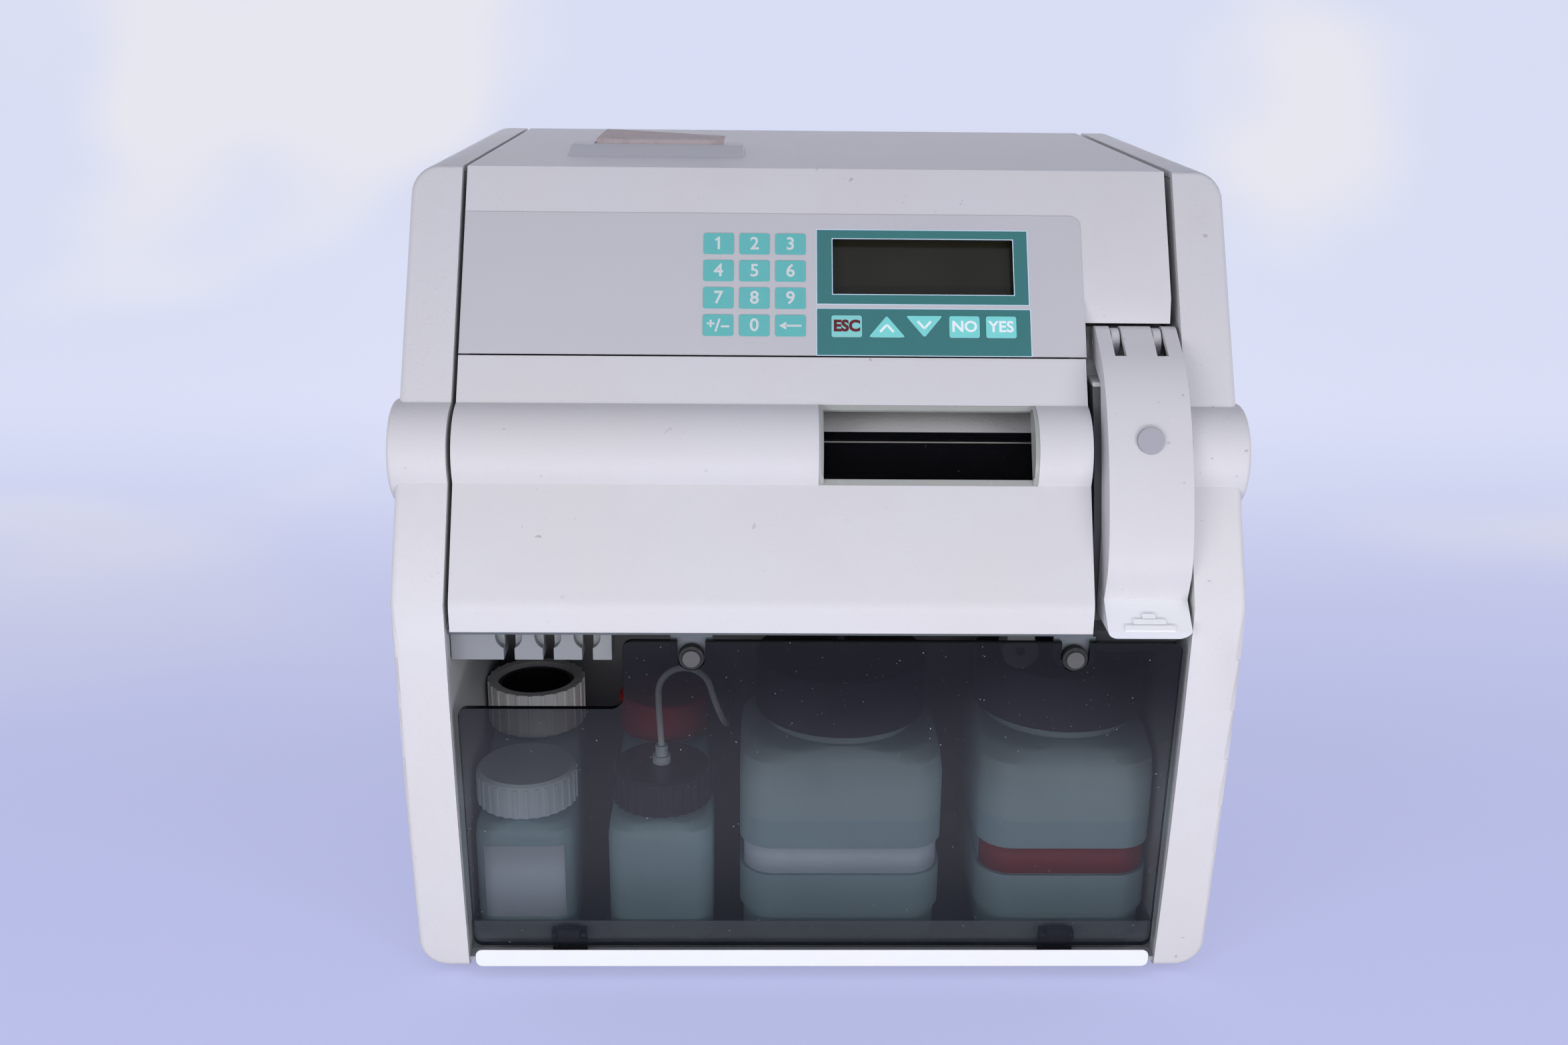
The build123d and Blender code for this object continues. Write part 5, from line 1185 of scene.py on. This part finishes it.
# %% World
FILL_LIGHT = (0.232, 0.235, 0.270, 1.0)
SEEN_AIR = (0.50, 0.53, 0.68, 1.0)
world = bpy.data.worlds.new("studio air")
world.use_nodes = True
air = world.node_tree
sight = air.nodes.new("ShaderNodeLightPath")
seen = None
for ray in ("Is Camera Ray", "Is Glossy Ray", "Is Transmission Ray"):
    most = air.nodes.new("ShaderNodeMath")
    most.operation = "MAXIMUM"
    air.links.new(sight.outputs[ray], most.inputs[0])
    if seen:
        air.links.new(seen, most.inputs[1])
    seen = most.outputs[0]
sky = air.nodes.new("ShaderNodeMix")
sky.data_type = "RGBA"
factor, fill, shown = [socket for socket in sky.inputs if socket.enabled]
air.links.new(seen, factor)
fill.default_value = FILL_LIGHT
shown.default_value = SEEN_AIR
background = air.nodes["Background"]
air.links.new(next(s for s in sky.outputs if s.enabled), background.inputs["Color"])
background.inputs["Strength"].default_value = 1.0
bpy.context.scene.world = world
print("world nodes:", len(air.nodes))

# %% [markdown]
# ## Camera
# The camera stands a little left of the middle and looks down by eighteen degrees, which
# shows the sloping keypad and just a sliver of the top. It could be aimed at a target, but
# then its roll is lost. So its place and turn are written as a surveyor would: position, yaw,
# pitch and roll, and the lens as its focal length in pixels of the frame.

# %% Camera
EYE = cab(-27.506, -724.055, 425.167)
PITCH, YAW, ROLL = 0.31852, 0.01899, 0.01062
FOCAL_PIXELS, FRAME_PIXELS, SENSOR = 2400.0, 2352.0, 36.0
forward = Vector((sin(YAW) * cos(PITCH), cos(YAW) * cos(PITCH), -sin(PITCH)))
level = Vector((cos(YAW), -sin(YAW), 0))
upright = level.cross(forward)
right = cos(ROLL) * level + sin(ROLL) * upright
up = -sin(ROLL) * level + cos(ROLL) * upright
camera = bpy.data.objects.new("camera", bpy.data.cameras.new("camera"))
bpy.context.scene.collection.objects.link(camera)
camera.matrix_world = Matrix((right, up, -forward)).transposed().to_4x4()
camera.location = EYE
camera.data.sensor_width = SENSOR
camera.data.lens = SENSOR * FOCAL_PIXELS / FRAME_PIXELS
camera.data.clip_start = 0.02
bpy.context.scene.camera = camera
bpy.context.scene.view_settings.view_transform = "Standard"
print("lens", round(camera.data.lens, 2), "mm")
